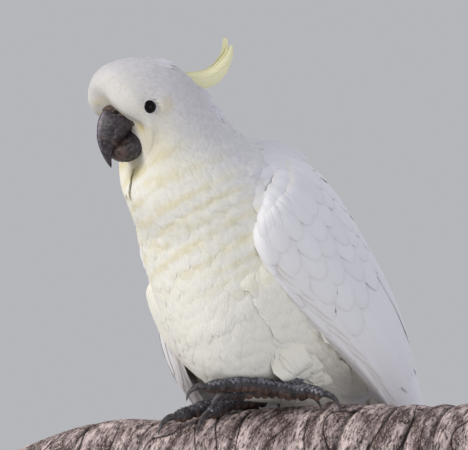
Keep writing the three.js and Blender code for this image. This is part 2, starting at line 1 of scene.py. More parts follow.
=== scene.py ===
import bpy
import numpy as np
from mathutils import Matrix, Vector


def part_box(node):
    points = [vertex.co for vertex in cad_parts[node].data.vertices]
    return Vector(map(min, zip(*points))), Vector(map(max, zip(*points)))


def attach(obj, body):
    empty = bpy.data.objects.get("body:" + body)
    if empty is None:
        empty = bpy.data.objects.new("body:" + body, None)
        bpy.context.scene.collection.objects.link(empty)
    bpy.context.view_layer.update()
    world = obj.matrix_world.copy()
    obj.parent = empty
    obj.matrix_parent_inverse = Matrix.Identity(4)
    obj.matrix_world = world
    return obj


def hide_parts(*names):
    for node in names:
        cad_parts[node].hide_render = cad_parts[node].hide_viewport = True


# ---------------------------------------------------------------------------
# Camera and studio. A long lens stands well back and level with the bird. A
# soft key from its front, a cool fill, a lamp behind and a pale surround light
# it. The floor is a plain pale sheet that fades into the surround.
# ---------------------------------------------------------------------------

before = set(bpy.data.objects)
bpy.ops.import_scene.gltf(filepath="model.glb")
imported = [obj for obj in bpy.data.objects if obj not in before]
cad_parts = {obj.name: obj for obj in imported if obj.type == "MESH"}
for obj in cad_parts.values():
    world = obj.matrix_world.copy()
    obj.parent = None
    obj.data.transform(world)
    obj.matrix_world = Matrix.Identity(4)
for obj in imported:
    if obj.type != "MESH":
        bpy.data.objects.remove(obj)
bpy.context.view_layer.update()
scene = bpy.context.scene
scene.view_settings.view_transform = "Standard"

base_low, base_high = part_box("stand_base")
BASE_CENTRE = np.array([(base_low.x + base_high.x) / 2, (base_low.y + base_high.y) / 2, 0.0])
CAMERA_DISTANCE = 6.0
FRAME_WIDTH = 0.3557            # metres that the camera sees across, at the bird
CAMERA_HEIGHT = 0.3306
SENSOR_WIDTH = 36.0

camera_data = bpy.data.cameras.new("camera")
camera_data.sensor_width = SENSOR_WIDTH
camera_data.lens = SENSOR_WIDTH * CAMERA_DISTANCE / FRAME_WIDTH
camera_data.clip_end = 60
camera = bpy.data.objects.new("camera", camera_data)
camera.location = (BASE_CENTRE[0], BASE_CENTRE[1] - CAMERA_DISTANCE, CAMERA_HEIGHT)
camera.rotation_euler = (np.pi / 2, 0, 0)
scene.collection.objects.link(camera)
scene.camera = camera


def area_lamp(name, place, target, size, power, colour):
    """A square lamp of the given size at a place, turned to face its target."""
    data = bpy.data.lights.new(name, "AREA")
    data.size = size
    data.energy = power
    data.color = colour
    lamp = bpy.data.objects.new(name, data)
    lamp.location = place
    aim = np.array(target) - np.array(place)
    level = np.hypot(aim[0], aim[1])
    lamp.rotation_euler = (np.arctan2(level, -aim[2]), 0, np.arctan2(aim[0], -aim[1]) + np.pi)
    scene.collection.objects.link(lamp)


area_lamp("key", (-1.9, -1.35, 1.35), (0, 0, 0.3), 0.8, 37.5, (1.0, 0.975, 0.94))
area_lamp("fill", (1.4, -2.0, 0.35), (0, 0, 0.3), 1.6, 10, (0.94, 0.96, 1.0))
area_lamp("back", (0.7, 1.7, 1.6), (0, 0, 0.35), 1.2, 9, (0.96, 0.97, 1.0))


class Wire:
    """A socket in a node tree. Sums, differences, products and powers add Math nodes."""

    def __init__(self, tree, socket=None):
        self.tree = tree
        self.socket = socket

    def node(self, kind, settings=None, inputs=None, out=0):
        """Adds a node with its settings first, then the values or wires of its inputs; gives an output."""
        made = self.tree.nodes.new(kind)
        for key, value in (settings or {}).items():
            setattr(made, key, value)
        for key, value in (inputs or {}).items():
            if isinstance(value, Wire):
                self.tree.links.new(value.socket, made.inputs[key])
            else:
                made.inputs[key].default_value = value
        return Wire(self.tree, made.outputs[out])

    def maths(self, operation, *values):
        """A Math node on this wire and the given values."""
        return self.node("ShaderNodeMath", {"operation": operation},
                         dict(enumerate((self,) + values)))

    def __add__(self, other):
        return self.maths("ADD", other)

    def __radd__(self, other):
        return self.maths("ADD", other)

    def __sub__(self, other):
        return self.maths("SUBTRACT", other)

    def __rsub__(self, other):
        return self.node("ShaderNodeMath", {"operation": "SUBTRACT"}, {0: other, 1: self})

    def __mul__(self, other):
        return self.maths("MULTIPLY", other)

    def __pow__(self, other):
        return self.maths("POWER", other)

    def between(self, low, high):
        """0 below low, 1 above high and an even slope in between."""
        return self.node("ShaderNodeMapRange", {}, {0: self, 1: low, 2: high, 3: 0.0, 4: 1.0})

    def mix(self, first, second):
        """The first colour where this wire is 0 and the second where it is 1."""
        return self.node("ShaderNodeMix", {"data_type": "RGBA"}, {0: self, 6: first, 7: second}, 2)


def tint(red, green, blue):
    """Linear colour of an everyday 0 to 255 one."""
    return tuple((np.array([red, green, blue]) / 255.0) ** 2.2) + (1.0,)


def finish_of(name, **fixed):
    """A new material: its Principled shader's fixed sockets, a wire to build with, and the shader."""
    material = bpy.data.materials.new(name)
    material.use_nodes = True
    shader = material.node_tree.nodes["Principled BSDF"]
    for key, value in fixed.items():
        shader.inputs[key.replace("_", " ")].default_value = value
    return material, Wire(material.node_tree), shader


def feed(shader, socket, wire):
    """Links a wire to a shader's socket."""
    shader.id_data.links.new(wire.socket, shader.inputs[socket])


PALE_SURROUND = tint(180, 181, 185)
SURROUND_LIGHT = (0.44, 0.44, 0.46, 1.0)

world = bpy.data.worlds.new("surround")
scene.world = world
world.use_nodes = True
sky = Wire(world.node_tree)
seen = sky.node("ShaderNodeLightPath", out="Is Camera Ray")
seen = seen + sky.node("ShaderNodeLightPath", out="Is Glossy Ray")
seen = (seen + sky.node("ShaderNodeLightPath", out="Is Transmission Ray")).maths("MINIMUM", 1.0)
surround = world.node_tree.nodes["Background"]
surround.inputs["Strength"].default_value = 1.0
feed(surround, "Color", seen.mix(SURROUND_LIGHT, PALE_SURROUND))

FLOOR_RADIUS, FLOOR_FADE = 1.3, (0.35, 1.2)
FLOOR_DROP = 0.0002             # keeps the floor clear of the base's underside
floor_mesh = bpy.data.meshes.new("floor")
floor_turn = np.arange(64) / 64 * 2 * np.pi
floor_mesh.from_pydata(
    np.stack([np.cos(floor_turn) * FLOOR_RADIUS, np.sin(floor_turn) * FLOOR_RADIUS,
              0 * floor_turn - FLOOR_DROP], 1).tolist(), [], [list(range(64))])
floor = bpy.data.objects.new("floor", floor_mesh)
scene.collection.objects.link(floor)
floor_finish, wire, shader = finish_of("pale_floor", Roughness=0.9)
shader.inputs["Base Color"].default_value = tint(222, 222, 224)
from_middle = wire.node("ShaderNodeVectorMath", {"operation": "LENGTH"},
                        {0: wire.node("ShaderNodeTexCoord", out="Object")}, 1)
feed(shader, "Alpha", 1.0 - from_middle.between(*FLOOR_FADE))
floor_mesh.materials.append(floor_finish)

# ---------------------------------------------------------------------------
# Skin. One thin pale hide runs from the bill over the head, neck and trunk to
# the root of the tail, out along both arms and down both thighs. It lies under
# the feathers by their depth and shows only as yellowish down where they part.
# ---------------------------------------------------------------------------

BODY_YAW, HEAD_YAW = np.radians([48.0, 32.0])
NECK_FORWARD = 85.0             # millimetres, as are all lengths in the bird's own frame
BIRD_PLACE = (12.0, 2.0, 190.0)
# top forward, top up, bottom forward, bottom up, half width, share of the head's turn, cheeks' bow
BODY_SECTIONS = np.array([
    (140, 231, 122, 204, 11, 1, -1), (153.5, 243, 120, 193, 23.5, 1, -6),
    (149, 256.5, 119, 188, 31, 1, -6), (133, 264.5, 118, 185, 32.5, 1, -4),
    (112, 266, 119, 180, 34.5, 1, -2), (90, 259.5, 121, 173, 36, 0.9, 0),
    (68, 244, 122, 162, 38, 0.7, 0), (49, 223, 115, 147, 43, 0.4, 0),
    (24, 209, 102, 129, 51, 0.15, 0), (-9, 203, 93, 108, 57, 0, 0), (-42, 182, 83, 82, 59, 0, 0),
    (-72, 152, 69, 53, 58, 0, 0), (-99, 115, 48, 26, 50, 0, 0), (-121, 79, 11, 9, 38, 0, 0),
    (-140, 44, -34, 3, 27, 0, 0), (-156, 15, -76, -16, 20, 0, 0)], float)
COAT_DEPTH = np.array([[1.0, 1.6, 1.8, 2.0, 2.0, 2.6, 3.6, 4.6, 5.6, 6.2, 6.2, 6.2, 6.0, 5.0, 4.0, 3.0]]).T
EYE_PLACE = (125.4, 32.2, 228.8)
EYE_RADIUS, EYE_SIGHT_RADIUS = 6.0, 4.5
# forward, left, up, reach and height of the soft forms of the face
FACE_FORMS = np.array([(124, 32, 230, 9, -0.8), (131, 24, 246, 11, 0.7), (106, 30, 207, 15, 0.7),
                       (140, 21, 226, 8, -0.6), (96, 0, 262, 15, 2.6),
                       (78, 0, 252, 12, 4.2), (66, 0, 241, 12, 3.6)], float)
# where the forehead's feathers push forward over the bill's root, and draw back round the gape
FACE_PUSHES = ((146, 14, 228.5, 9, 3.8), (132, 18, 213, 8.5, -5.0))


def run_through(stops, share):
    """Smooth run through rows of numbers: a cubic per span, with slopes of half the outer rows' step."""
    place = np.clip(share, 0, 1) * (len(stops) - 1)
    span = np.minimum(place.astype(int), len(stops) - 2)
    t = (place - span)[..., None]
    padded = np.vstack([2 * stops[0] - stops[1], stops, 2 * stops[-1] - stops[-2]])
    before, start, end, after = (padded[span + step] for step in range(4))
    return ((2 * t**3 - 3 * t**2 + 1) * start + (t**3 - 2 * t**2 + t) * (end - before) / 2
            + (3 * t**2 - 2 * t**3) * end + (t**3 - t**2) * (after - start) / 2)


def smooth(value, low, high):
    """0 below low, 1 above high, and the S curve 3t squared less 2t cubed in between."""
    t = np.clip((value - low) / (high - low), 0, 1)
    return t * t * (3 - 2 * t)


def unit(vectors):
    """Vectors over their own lengths."""
    return vectors / np.maximum(np.linalg.norm(vectors, axis=-1, keepdims=True), 1e-12)


def in_row(forward, left, up, turn=0.0):
    """Metres in the row frame: forward and left are turned by the yaw of body or head round the neck."""
    yaw = BODY_YAW + (HEAD_YAW - BODY_YAW) * turn
    reach = forward - NECK_FORWARD
    x = BIRD_PLACE[0] - np.cos(BODY_YAW) * NECK_FORWARD - np.cos(yaw) * reach + np.sin(yaw) * left
    y = BIRD_PLACE[1] - np.sin(BODY_YAW) * NECK_FORWARD - np.sin(yaw) * reach - np.cos(yaw) * left
    return np.stack(np.broadcast_arrays(x, y, BIRD_PLACE[2] + up), -1) / 1000 + BASE_CENTRE


def end_rounding(share, cap):
    """Half-round end: the root of 1 less the square of what is left of the cap."""
    return np.sqrt(1 - (1 - np.clip(share / cap, 0, 1))**2)


def soft_forms(forms, forward, left, up):
    """Sum of round hills at points, the same on both sides: height times e to less the square of the
    distance over the reach."""
    total = 0.0
    for form_f, form_l, form_u, reach, height in forms:
        away = (forward - form_f)**2 + (np.abs(left) - form_l)**2 + (up - form_u)**2
        total = total + height * np.exp(-away / reach**2)
    return total


def body_shell(along, around):
    """Outer form of the coat: ellipses from top to bottom line, bowed back at the cheeks, plus soft forms."""
    along, around = np.broadcast_arrays(np.asarray(along, float), around)
    top_f, top_u, low_f, low_u, half, turn, bow = np.moveaxis(run_through(BODY_SECTIONS, along), -1, 0)
    close = end_rounding(along, 0.05) * end_rounding(1 - along, 0.04)
    rise = close * np.cos(2 * np.pi * around) / 2
    side = close * np.sin(2 * np.pi * around)
    cheek = side**2 * smooth(-np.cos(2 * np.pi * around), -0.35, 0.15)
    forward = (top_f + low_f) / 2 + rise * (top_f - low_f) + bow * cheek
    up = (top_u + low_u) / 2 + rise * (top_u - low_u)
    left = half * side
    swell = soft_forms(FACE_FORMS, forward, left, up)
    push = soft_forms(FACE_PUSHES, forward, left, up)
    return in_row(forward + swell * rise + push, left + swell * side, up + swell * 2 * rise, turn)


def shell_frame(shell, along, around, step=1e-3):
    """Points of a shell, its outward normals, and the two slopes that its parameters give it."""
    slope_a = (shell(along + step, around) - shell(along - step, around)) / (2 * step)
    slope_b = (shell(along, around + step) - shell(along, around - step)) / (2 * step)
    return shell(along, around), unit(np.cross(slope_a, slope_b)) * shell.side, slope_a, slope_b


def facing(shell):
    """Notes on a shell which way its slopes' cross product points, and gives the shell back."""
    along, around = np.meshgrid((np.arange(9) + 0.5) / 9, (np.arange(12) + 0.5) / 12)
    shell.side = 1.0
    points, normals, _, _ = shell_frame(shell, along, around)
    outwards = ((points - points.mean((0, 1))) * normals).sum(-1)
    shell.side = float(np.sign(np.median(np.sign(outwards)) + 0.1 * np.sign(outwards.mean())))
    return shell


facing(body_shell)


def facing_side(shell, side=1):
    """The same for an open shell, by whether it faces the bird's left (side 1) or right (side -1)."""
    shell.side = 1.0
    _, normal, _, _ = shell_frame(shell, np.array([0.5]), np.array([0.5]))
    leftwards = in_row(0.0, 1.0, 0.0, 1.0) - in_row(0.0, 0.0, 0.0, 1.0)
    shell.side = float(np.sign((normal[0] * leftwards).sum()) * side)
    return shell


def closed_shell(rings):
    """Points and faces of a closed surface: a pole, rows of rings and a pole, all facing outwards."""
    rows, columns = rings.shape[:2]
    points = np.vstack([rings[0].mean(0), rings.reshape(-1, 3), rings[-1].mean(0)])
    ring = np.arange(rows * columns).reshape(rows, columns) + 1
    following = np.roll(ring, -1, 1)
    quads = np.stack([ring[:-1], following[:-1], following[1:], ring[1:]], -1).reshape(-1, 4)
    caps = np.vstack([np.stack([0 * ring[0], following[0], ring[0]], -1),
                      np.stack([0 * ring[0] + len(points) - 1, ring[-1], following[-1]], -1)])
    corners = points[caps] - points.mean(0)
    volume = np.einsum("ij,ij->", corners[:, 0], np.cross(corners[:, 1], corners[:, 2]))
    corners = points[quads] - points.mean(0)
    volume += np.einsum("ij,ij->", corners[:, 0], np.cross(corners[:, 1], corners[:, 2]))
    volume += np.einsum("ij,ij->", corners[:, 0], np.cross(corners[:, 2], corners[:, 3]))
    return points, ([quads, caps] if volume > 0 else [quads[:, ::-1], caps[:, ::-1]])


def joined(shells):
    """Points and faces of several surfaces as one mesh."""
    points, faces, count = [], [], 0
    for part_points, part_faces in shells:
        faces += [group + count for group in part_faces]
        points.append(part_points)
        count += len(part_points)
    return np.vstack(points), faces


def one_surface(points, faces, grain):
    """The single outer surface of overlapping closed shells, rebuilt at an even grain and eased."""
    rough = bpy.data.meshes.new("rough")
    rough.from_pydata(points.tolist(), [], [face for group in faces for face in group.tolist()])
    holder = bpy.data.objects.new("rough", rough)
    scene.collection.objects.link(holder)
    remesh = holder.modifiers.new("remesh", "REMESH")
    remesh.mode = "VOXEL"
    remesh.voxel_size = grain
    ease = holder.modifiers.new("ease", "SMOOTH")
    ease.iterations = 4
    whole = holder.evaluated_get(bpy.context.evaluated_depsgraph_get()).to_mesh()
    co = np.empty(len(whole.vertices) * 3, np.float32)
    whole.vertices.foreach_get("co", co)
    whole.calc_loop_triangles()
    corners = np.empty(len(whole.loop_triangles) * 3, np.int32)
    whole.loop_triangles.foreach_get("vertices", corners)
    bpy.data.objects.remove(holder)
    bpy.data.meshes.remove(rough)
    return co.reshape(-1, 3).astype(float), [corners.reshape(-1, 3)]


def add_piece(name, points, faces, finish, slot, replaced=(), values=None, maps=None):
    """A mesh object that rides on the bird, with per-point values and per-point texture maps."""
    mesh = bpy.data.meshes.new(name)
    corners = np.concatenate([group.ravel() for group in faces]).astype(np.int32)
    sizes = np.concatenate([np.full(len(group), group.shape[1]) for group in faces])
    mesh.vertices.add(len(points))
    mesh.loops.add(len(corners))
    mesh.polygons.add(len(sizes))
    mesh.vertices.foreach_set("co", np.ascontiguousarray(points, np.float32).ravel())
    mesh.loops.foreach_set("vertex_index", corners)
    mesh.polygons.foreach_set("loop_start", (np.cumsum(sizes) - sizes).astype(np.int32))
    mesh.polygons.foreach_set("use_smooth", np.ones(len(sizes), bool))
    for key, value in (values or {}).items():
        kind, field = ("FLOAT_COLOR", "color") if value.ndim > 1 else ("FLOAT", "value")
        layer = mesh.attributes.new(key, kind, "POINT")
        layer.data.foreach_set(field, np.ascontiguousarray(value, np.float32).ravel())
    for key, value in (maps or {}).items():
        layer = mesh.uv_layers.new(name=key)
        layer.data.foreach_set("uv", np.ascontiguousarray(value[corners], np.float32).ravel())
    mesh.update(calc_edges=True)
    mesh.validate()
    mesh.set_sharp_from_angle(angle=1.2)
    mesh.materials.append(finish)
    made = bpy.data.objects.new(name, mesh)
    scene.collection.objects.link(made)
    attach(made, "root")
    if replaced:
        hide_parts(*replaced)


LEG_POINTS = {"left": ((-26, 26, 30), (8, 31, 92)), "right": ((-20, -24, 18), (8, -31, 88))}
THIGH_RADII = np.array([[10.0], [20], [26], [22]])


def thigh_shell(leg):
    """Feathered thigh: a round limb from the ankle to the hip, with half-round ends."""
    ankle, hip = (in_row(*point) for point in LEG_POINTS[leg])
    aside = unit(np.cross(hip - ankle, (0, 0, 1.0)))
    lift = unit(np.cross(aside, hip - ankle))

    def shell(along, around):
        along, around = np.broadcast_arrays(np.asarray(along, float), around)
        radius = run_through(THIGH_RADII, along)[..., 0] / 1000
        radius = (radius * end_rounding(along, 0.1) * end_rounding(1 - along, 0.1))[..., None]
        turn = (2 * np.pi * around)[..., None]
        return (ankle + (hip - ankle) * along[..., None]
                + radius * (aside * np.cos(turn) + lift * np.sin(turn)))
    return facing(shell)


thigh_shells = {leg: thigh_shell(leg) for leg in LEG_POINTS}


def inner_rings(shell, along, around, depth):
    """Rings of a shell, moved inwards by a depth in millimetres."""
    points, normals, _, _ = shell_frame(shell, along[:, None], around[None, :])
    return points - normals * depth[..., None] / 1000


# share of the wing's length, arc's half axes to back and side, upper and lower edge, thickness
WING_SECTIONS = np.array([
    (0, 60, 62, 66, 90, 7), (0.05, 75, 68, 32, 111, 10), (0.14, 85, 72, 13, 117, 12),
    (0.3, 89, 74, 5, 112, 12), (0.5, 84, 70, 4, 103, 9), (0.7, 68, 56, 5, 94, 6),
    (0.86, 53, 40, 6, 77, 4), (1, 44, 24, 20, 40, 2)], float)
WING_LENGTH, WING_ROOT, WING_PITCH = 345.0, (51.0, 168.0), 46.5
WING_POSES = {
    "left": {"side": 1, "droop": 0, "forward": 0, "up": 0, "bend": 1.0, "middle": 1.0, "wrap": 0},
    "right": {"side": -1, "droop": 4, "forward": 6, "up": -8, "bend": 0.9, "middle": 1.16, "wrap": 30}}
reach_steps = np.linspace(0, 1, 400)
reach_table = run_through(WING_SECTIONS, reach_steps)[:, 0]


def wing_section(along, pose):
    """Share of the wing's length at a step, the arc's two half axes, its first and last angle, its
    thickness and how much of the pose's bend it takes."""
    reach, back_axis, side_axis, start, end, thick = np.moveaxis(
        run_through(WING_SECTIONS, np.interp(along, reach_table, reach_steps)), -1, 0)
    spread = smooth(reach, 0.12, 0.4) * (1 - smooth(reach, 0.6, 1))
    return reach, back_axis, side_axis, start, end + pose["wrap"] * spread, thick, spread


def wing_shell(pose, depth=None):
    """Outer face of a folded wing: at each step an arc of an ellipse round the wing's own axis, which
    rolls under at its lower edge, past around 1, and lies low by the back near its top."""
    pitch = np.radians(WING_PITCH + pose["droop"])

    def shell(along, around):
        along, around = np.broadcast_arrays(np.asarray(along, float), around)
        reach, back_axis, side_axis, start, end, thick, spread = wing_section(along, pose)
        layer = np.sqrt(np.clip(1 - (2 * around - 1)**2, 0, 1))
        inwards = thick * (0.5 - 0.5 * layer) if depth is None else depth(around, thick)
        inwards = inwards + 1.4 * thick * smooth(around, 0.99, 1.13)
        inwards = inwards + 5.0 * np.exp(-((along - 0.07) / 0.055)**2) * (1 - smooth(around, 0.2, 0.5))
        around = np.minimum(around, 1) + 0.3 * np.maximum(around - 1, 0)
        if depth is not None:
            around = 0.5 - 0.33 * np.cos(2 * np.pi * around)
        angle = np.radians(start + (end - start) * around)
        back = (back_axis - inwards) * np.cos(angle)
        bulge = pose["bend"] + (pose["middle"] - pose["bend"]) * spread
        out = (side_axis * bulge - inwards) * np.sin(angle)
        length = WING_LENGTH * reach
        return in_row(
            WING_ROOT[0] + pose["forward"] - np.cos(pitch) * length - np.sin(pitch) * back,
            pose["side"] * out,
            WING_ROOT[1] + pose["up"] - np.sin(pitch) * length + np.cos(pitch) * back)
    return facing(shell)


def wing_face(shell, pose):
    """The same surface with around as an angle, where 1 is half a turn, so that rows run straight down."""
    def face(along, turn):
        along, turn = np.broadcast_arrays(np.asarray(along, float), turn)
        start, end = wing_section(along, pose)[3:5]
        return shell(along, (180 * turn - start) / (end - start))
    face.side = shell.side
    return face


def arm_depth(around, thick):
    """Depth of the arm's surface under the wing's: 3.5 mm outside and 5 mm or more beyond that inside."""
    return 3.5 + np.maximum(thick - 3.0, 5.0) * (0.5 - 0.5 * np.sin(2 * np.pi * around))


TAIL_ROOT, TAIL_PITCH, TAIL_LENGTH, TAIL_CROWN = (-126.0, 22.0), np.radians(53.0), 162.0, 9.0
TAIL_SIZES = np.array([(16, 14), (22, 10), (29, 7), (35, 5), (38, 3.6), (33, 2.2)], float)


def tail_shell(along, around):
    """Closed tail: at each step a flat ellipse laid over a shallow roof."""
    along, around = np.broadcast_arrays(np.asarray(along, float), around)
    half, thick = np.moveaxis(run_through(TAIL_SIZES, along), -1, 0)
    share = np.cos(2 * np.pi * around) * end_rounding(along, 0.08)
    rise = (thick * end_rounding(along, 0.08) * np.sin(2 * np.pi * around)
            + TAIL_CROWN * (1 - share**2))
    length = TAIL_LENGTH * along
    return in_row(TAIL_ROOT[0] - np.cos(TAIL_PITCH) * length - np.sin(TAIL_PITCH) * rise,
                  half * share,
                  TAIL_ROOT[1] - np.sin(TAIL_PITCH) * length + np.cos(TAIL_PITCH) * rise)


facing(tail_shell)

THIGH_COAT, TAIL_COAT, HIDE_GRAIN = 4.0, 1.8, 0.0026     # depths in millimetres, grain in metres
ring_turns = np.arange(96) / 96
body_steps = np.linspace(0.004, 0.992, 150)
hide = [closed_shell(inner_rings(body_shell, body_steps, ring_turns,
                                 run_through(COAT_DEPTH, body_steps[:, None])[..., 0]))]
for shell in thigh_shells.values():
    steps = np.linspace(0.02, 0.98, 30)
    hide.append(closed_shell(inner_rings(shell, steps, ring_turns[::2], np.full((30, 1), THIGH_COAT))))

for pose in WING_POSES.values():
    steps = np.linspace(0.04, 0.5, 50)[:, None]
    hide.append(closed_shell(wing_shell(pose, arm_depth)(steps, (np.arange(60) / 60)[None, :])))
hide.append(closed_shell(inner_rings(tail_shell, np.linspace(0.01, 0.5, 40), np.arange(48) / 48,
                                     np.full((40, 1), TAIL_COAT))))

# painted light: the first white is painted cool sky light on the shaded back and wings, the second painted
# warm sunlight on the front
SKY_LIT_WHITE = np.array(tint(239, 239, 247))
SUNLIT_CREAM = np.array(tint(253, 251, 241))
# painted shade: this cream is the shade in the breast's bands
SHADED_CREAM = np.array(tint(241, 233, 196))
YELLOW_STAIN = np.array(tint(228, 206, 118))
HEAD_PAINTED_SHADE = np.array([0.86, 0.85, 0.86, 1.0])      # painted shade: the head is drawn a little duller, as it lies in shade
# along and around the body, reach and strength of the yellow stains: bill's root, gape, ear, chin
STAINS = np.array([(0.030, 0.03, 4.0, 0.3), (0.031, 0.10, 3.5, 0.4), (0.034, 0.19, 4.0, 0.4),
                   (0.037, 0.281, 5.5, 0.75), (0.282, 0.217, 5.5, 0.35), (0.25, 0.25, 5.0, 0.25),
                   (0.16, 0.34, 11, 0.22), (0.30, 0.36, 16, 0.18), (0.22, 0.515, 7, 0.45)], float)
# heights between which the breast's painted shade bands grow, between which they fade, and where the head's
# painted shade sets in
SHADE_BANDS_GROW, SHADE_BANDS_FADE, HEAD_STARTS = (70, 118), (185, 205), (172, 222)
SHADE_BAND_WAVES = ((-190, 70, 330, 0.3, 0.36), (-260, 40, 470, 1.9, 0.30), (-70, -150, 290, 4.1, 0.26),
               (-330, 160, 600, 2.2, 0.22), (420, -300, 180, 0.9, 0.14))


def ripples(points, waves):
    """Sum of sine waves over points: each wave is (x, y, z, phase, height) with x, y, z per metre."""
    total = 0.0
    for x, y, z, phase, height in waves:
        total = total + height * np.sin(points @ np.array([x, y, z]) + phase)
    return total


# a place on the body's long axis, forward and up, the way in front of it, and where the painted sunlight
# starts and ends
AXIS_PLACE, AXIS_FRONT, SUNLIT_REACH = (20, 132), (0.688, 0.725), (-22, 30)


def sunlit_side(points):
    """Share of painted sunlight: 0 at points behind the body's long axis, which lie in painted sky-lit shade,
    1 well in front of it, and their height in millimetres.
    """
    x, y, up = np.moveaxis((points - BASE_CENTRE) * 1000 - np.array(BIRD_PLACE), -1, 0)
    forward = -np.cos(BODY_YAW) * x - np.sin(BODY_YAW) * y
    front = (forward - AXIS_PLACE[0]) * AXIS_FRONT[0] - (up - AXIS_PLACE[1]) * AXIS_FRONT[1]
    return smooth(front, *SUNLIT_REACH)[..., None], up


def markings(points):
    """Linear colour at points, with painted light: a cool sky-lit white behind the body's long axis, a warm
    sunlit white in front of it with painted cream shade in soft bands that slant round the breast, yellow
    stains on the face, and painted shade over the head."""
    sunlit, up = sunlit_side(points)
    colour = SKY_LIT_WHITE + (SUNLIT_CREAM - SKY_LIT_WHITE) * sunlit
    # painted shade: cream bands in the hollows between the breast's raised clumps, on the sunlit front only
    band_shade = smooth(ripples(points, SHADE_BAND_WAVES), -0.35, 0.75) * (0.06 + 0.9 * smooth(up, *SHADE_BANDS_GROW))
    band_shade = band_shade * (1 - 0.75 * smooth(up, *SHADE_BANDS_FADE))
    colour = colour + (SHADED_CREAM - colour) * (0.85 * band_shade)[..., None] * sunlit
    for stain_a, stain_b, reach, strength in STAINS:
        for middle in (body_shell(stain_a, stain_b), body_shell(stain_a, 1 - stain_b)):
            weight = strength * np.exp(-((points - middle)**2).sum(-1) / (reach / 1000)**2)[..., None]
            colour = colour + (YELLOW_STAIN - colour) * weight
    # painted shade over the head, setting in with height
    return colour * (1 - (1 - HEAD_PAINTED_SHADE) * smooth(up, *HEAD_STARTS)[..., None])


def wing_markings(points):
    """Linear colour of the wings: the same painted cool sky-lit white, with a little painted warm sunlight
    towards the front.
    """
    return SKY_LIT_WHITE + (SUNLIT_CREAM - SKY_LIT_WHITE) * (0.3 * sunlit_side(points)[0])


def value_of(wire, name, out="Fac"):
    """A value, or a colour, that a piece's points carry under a name."""
    return wire.node("ShaderNodeAttribute", {"attribute_name": name}, out=out)


def noise_of(wire, vector, scale, detail, settings=None, **more):
    """Noise over a vector at a scale per metre."""
    inputs = {"Vector": vector, "Scale": scale, "Detail": detail}
    inputs.update(more)
    return wire.node("ShaderNodeTexNoise", settings, inputs)


def emboss(shader, wire, strength, distance, height):
    """Relief in the shading only: a height wire times a distance in metres."""
    feed(shader, "Normal", wire.node(
        "ShaderNodeBump", {}, {"Strength": strength, "Distance": distance, "Height": height}))


skin_finish, wire, shader = finish_of("skin", Roughness=0.6)
marks = value_of(wire, "markings", 0)
spot = wire.node("ShaderNodeTexCoord", out="Object")
down = noise_of(wire, spot, 300.0, 3.0)
feed(shader, "Base Color", (down.between(0.3, 0.7) * 0.4 + 0.3).mix(marks, tint(248, 234, 190)))
emboss(shader, wire, 0.5, 0.001, down)
skin_points, skin_faces = one_surface(*joined(hide), HIDE_GRAIN)
add_piece("skin", skin_points, skin_faces, skin_finish, "plumage",
          ("head", "neck", "trunk", "thigh_left", "thigh_right", "wing_left", "wing_right", "tail"),
          values={"markings": markings(skin_points)})

# ---------------------------------------------------------------------------
# Eyes and lids. Each eye is a near-black ball, wet and very smooth, set deep
# in a ring of bare, pale, finely creased skin that its lids leave open.
# ---------------------------------------------------------------------------

eye_depth = np.sqrt(EYE_RADIUS**2 - EYE_SIGHT_RADIUS**2)
eye_middles = {name: in_row(EYE_PLACE[0], side * (EYE_PLACE[1] - eye_depth), EYE_PLACE[2], 1.0)
               for name, side in (("left", 1), ("right", -1))}
EYE_LOOKS = (10.0, 62.0, 1.0)   # forward, sideways and up
# radius and height above the ball's middle of the lid's fold, as a closed loop
LID_LOOP = np.array([(4.9, 2.9), (5.05, 3.4), (5.2, 3.7), (5.45, 3.75), (5.75, 3.4), (6.1, 3.35),
                     (6.5, 2.7), (8.4, 1.0), (8.0, -0.4), (6.4, 0.4), (5.0, 2.0)])
lid_finish, wire, shader = finish_of("lid_skin", Roughness=0.55)
spot = wire.node("ShaderNodeTexCoord", out="Object")
crease = noise_of(wire, spot, 900.0, 3.0)
feed(shader, "Base Color", crease.between(0.35, 0.65).mix(tint(198, 195, 198), tint(232, 230, 231)))
emboss(shader, wire, 0.5, 0.0004, crease)
eye_finish, wire, shader = finish_of("eye_ball", Roughness=0.03, IOR=1.36, Specular_IOR_Level=0.3)
shader.inputs["Base Color"].default_value = tint(14, 9, 9)

lid_shells = []
for name, side in (("left", 1.0), ("right", -1.0)):
    middle = eye_middles[name]
    outwards = unit(in_row(EYE_LOOKS[0], side * EYE_LOOKS[1], EYE_LOOKS[2], 1.0)
                    - in_row(0.0, 0.0, 0.0, 1.0))
    level = unit(np.cross(outwards, (0, 0, 1.0)))
    steep = np.cross(outwards, level)
    turns = (np.arange(64) / 64 * 2 * np.pi)[:, None, None]
    ripple = 1 + 0.025 * np.sin(9 * turns) * np.linspace(0, 1, 11)[None, :, None]
    loop = LID_LOOP[None, :, :] / 1000
    ring = (middle + outwards * loop[..., 1:]
            + loop[..., :1] * ripple * (level * np.cos(turns) + steep * 0.96 * np.sin(turns)))
    index = np.arange(ring.shape[0] * ring.shape[1]).reshape(ring.shape[:2])
    after = np.roll(index, -1, 0)
    quads = np.stack([index, after, np.roll(after, -1, 1), np.roll(index, -1, 1)], -1).reshape(-1, 4)
    lid_shells.append((ring.reshape(-1, 3), [quads[:, ::-1]]))
    across, up = np.meshgrid(np.arange(40) / 40 * 2 * np.pi, np.linspace(0.03, 0.97, 24) * np.pi)
    ball = (outwards * np.cos(up)[..., None] + level * (np.sin(up) * np.cos(across))[..., None]
            + steep * (np.sin(up) * np.sin(across))[..., None])
    add_piece(f"eye_ball_{name}", *closed_shell(middle + ball * EYE_RADIUS / 1000), eye_finish, "eye",
              (f"eye_{name}",))
add_piece("eyelids", *joined(lid_shells), lid_finish, "cere")

# ---------------------------------------------------------------------------
# Bill and cere. Both halves are dark horn over bone, ridged on top, flaked by
# growth and worn brown at the edges. The cere, a strip of soft grey skin grown
# round the bill's root, holds the nostrils.
# ---------------------------------------------------------------------------

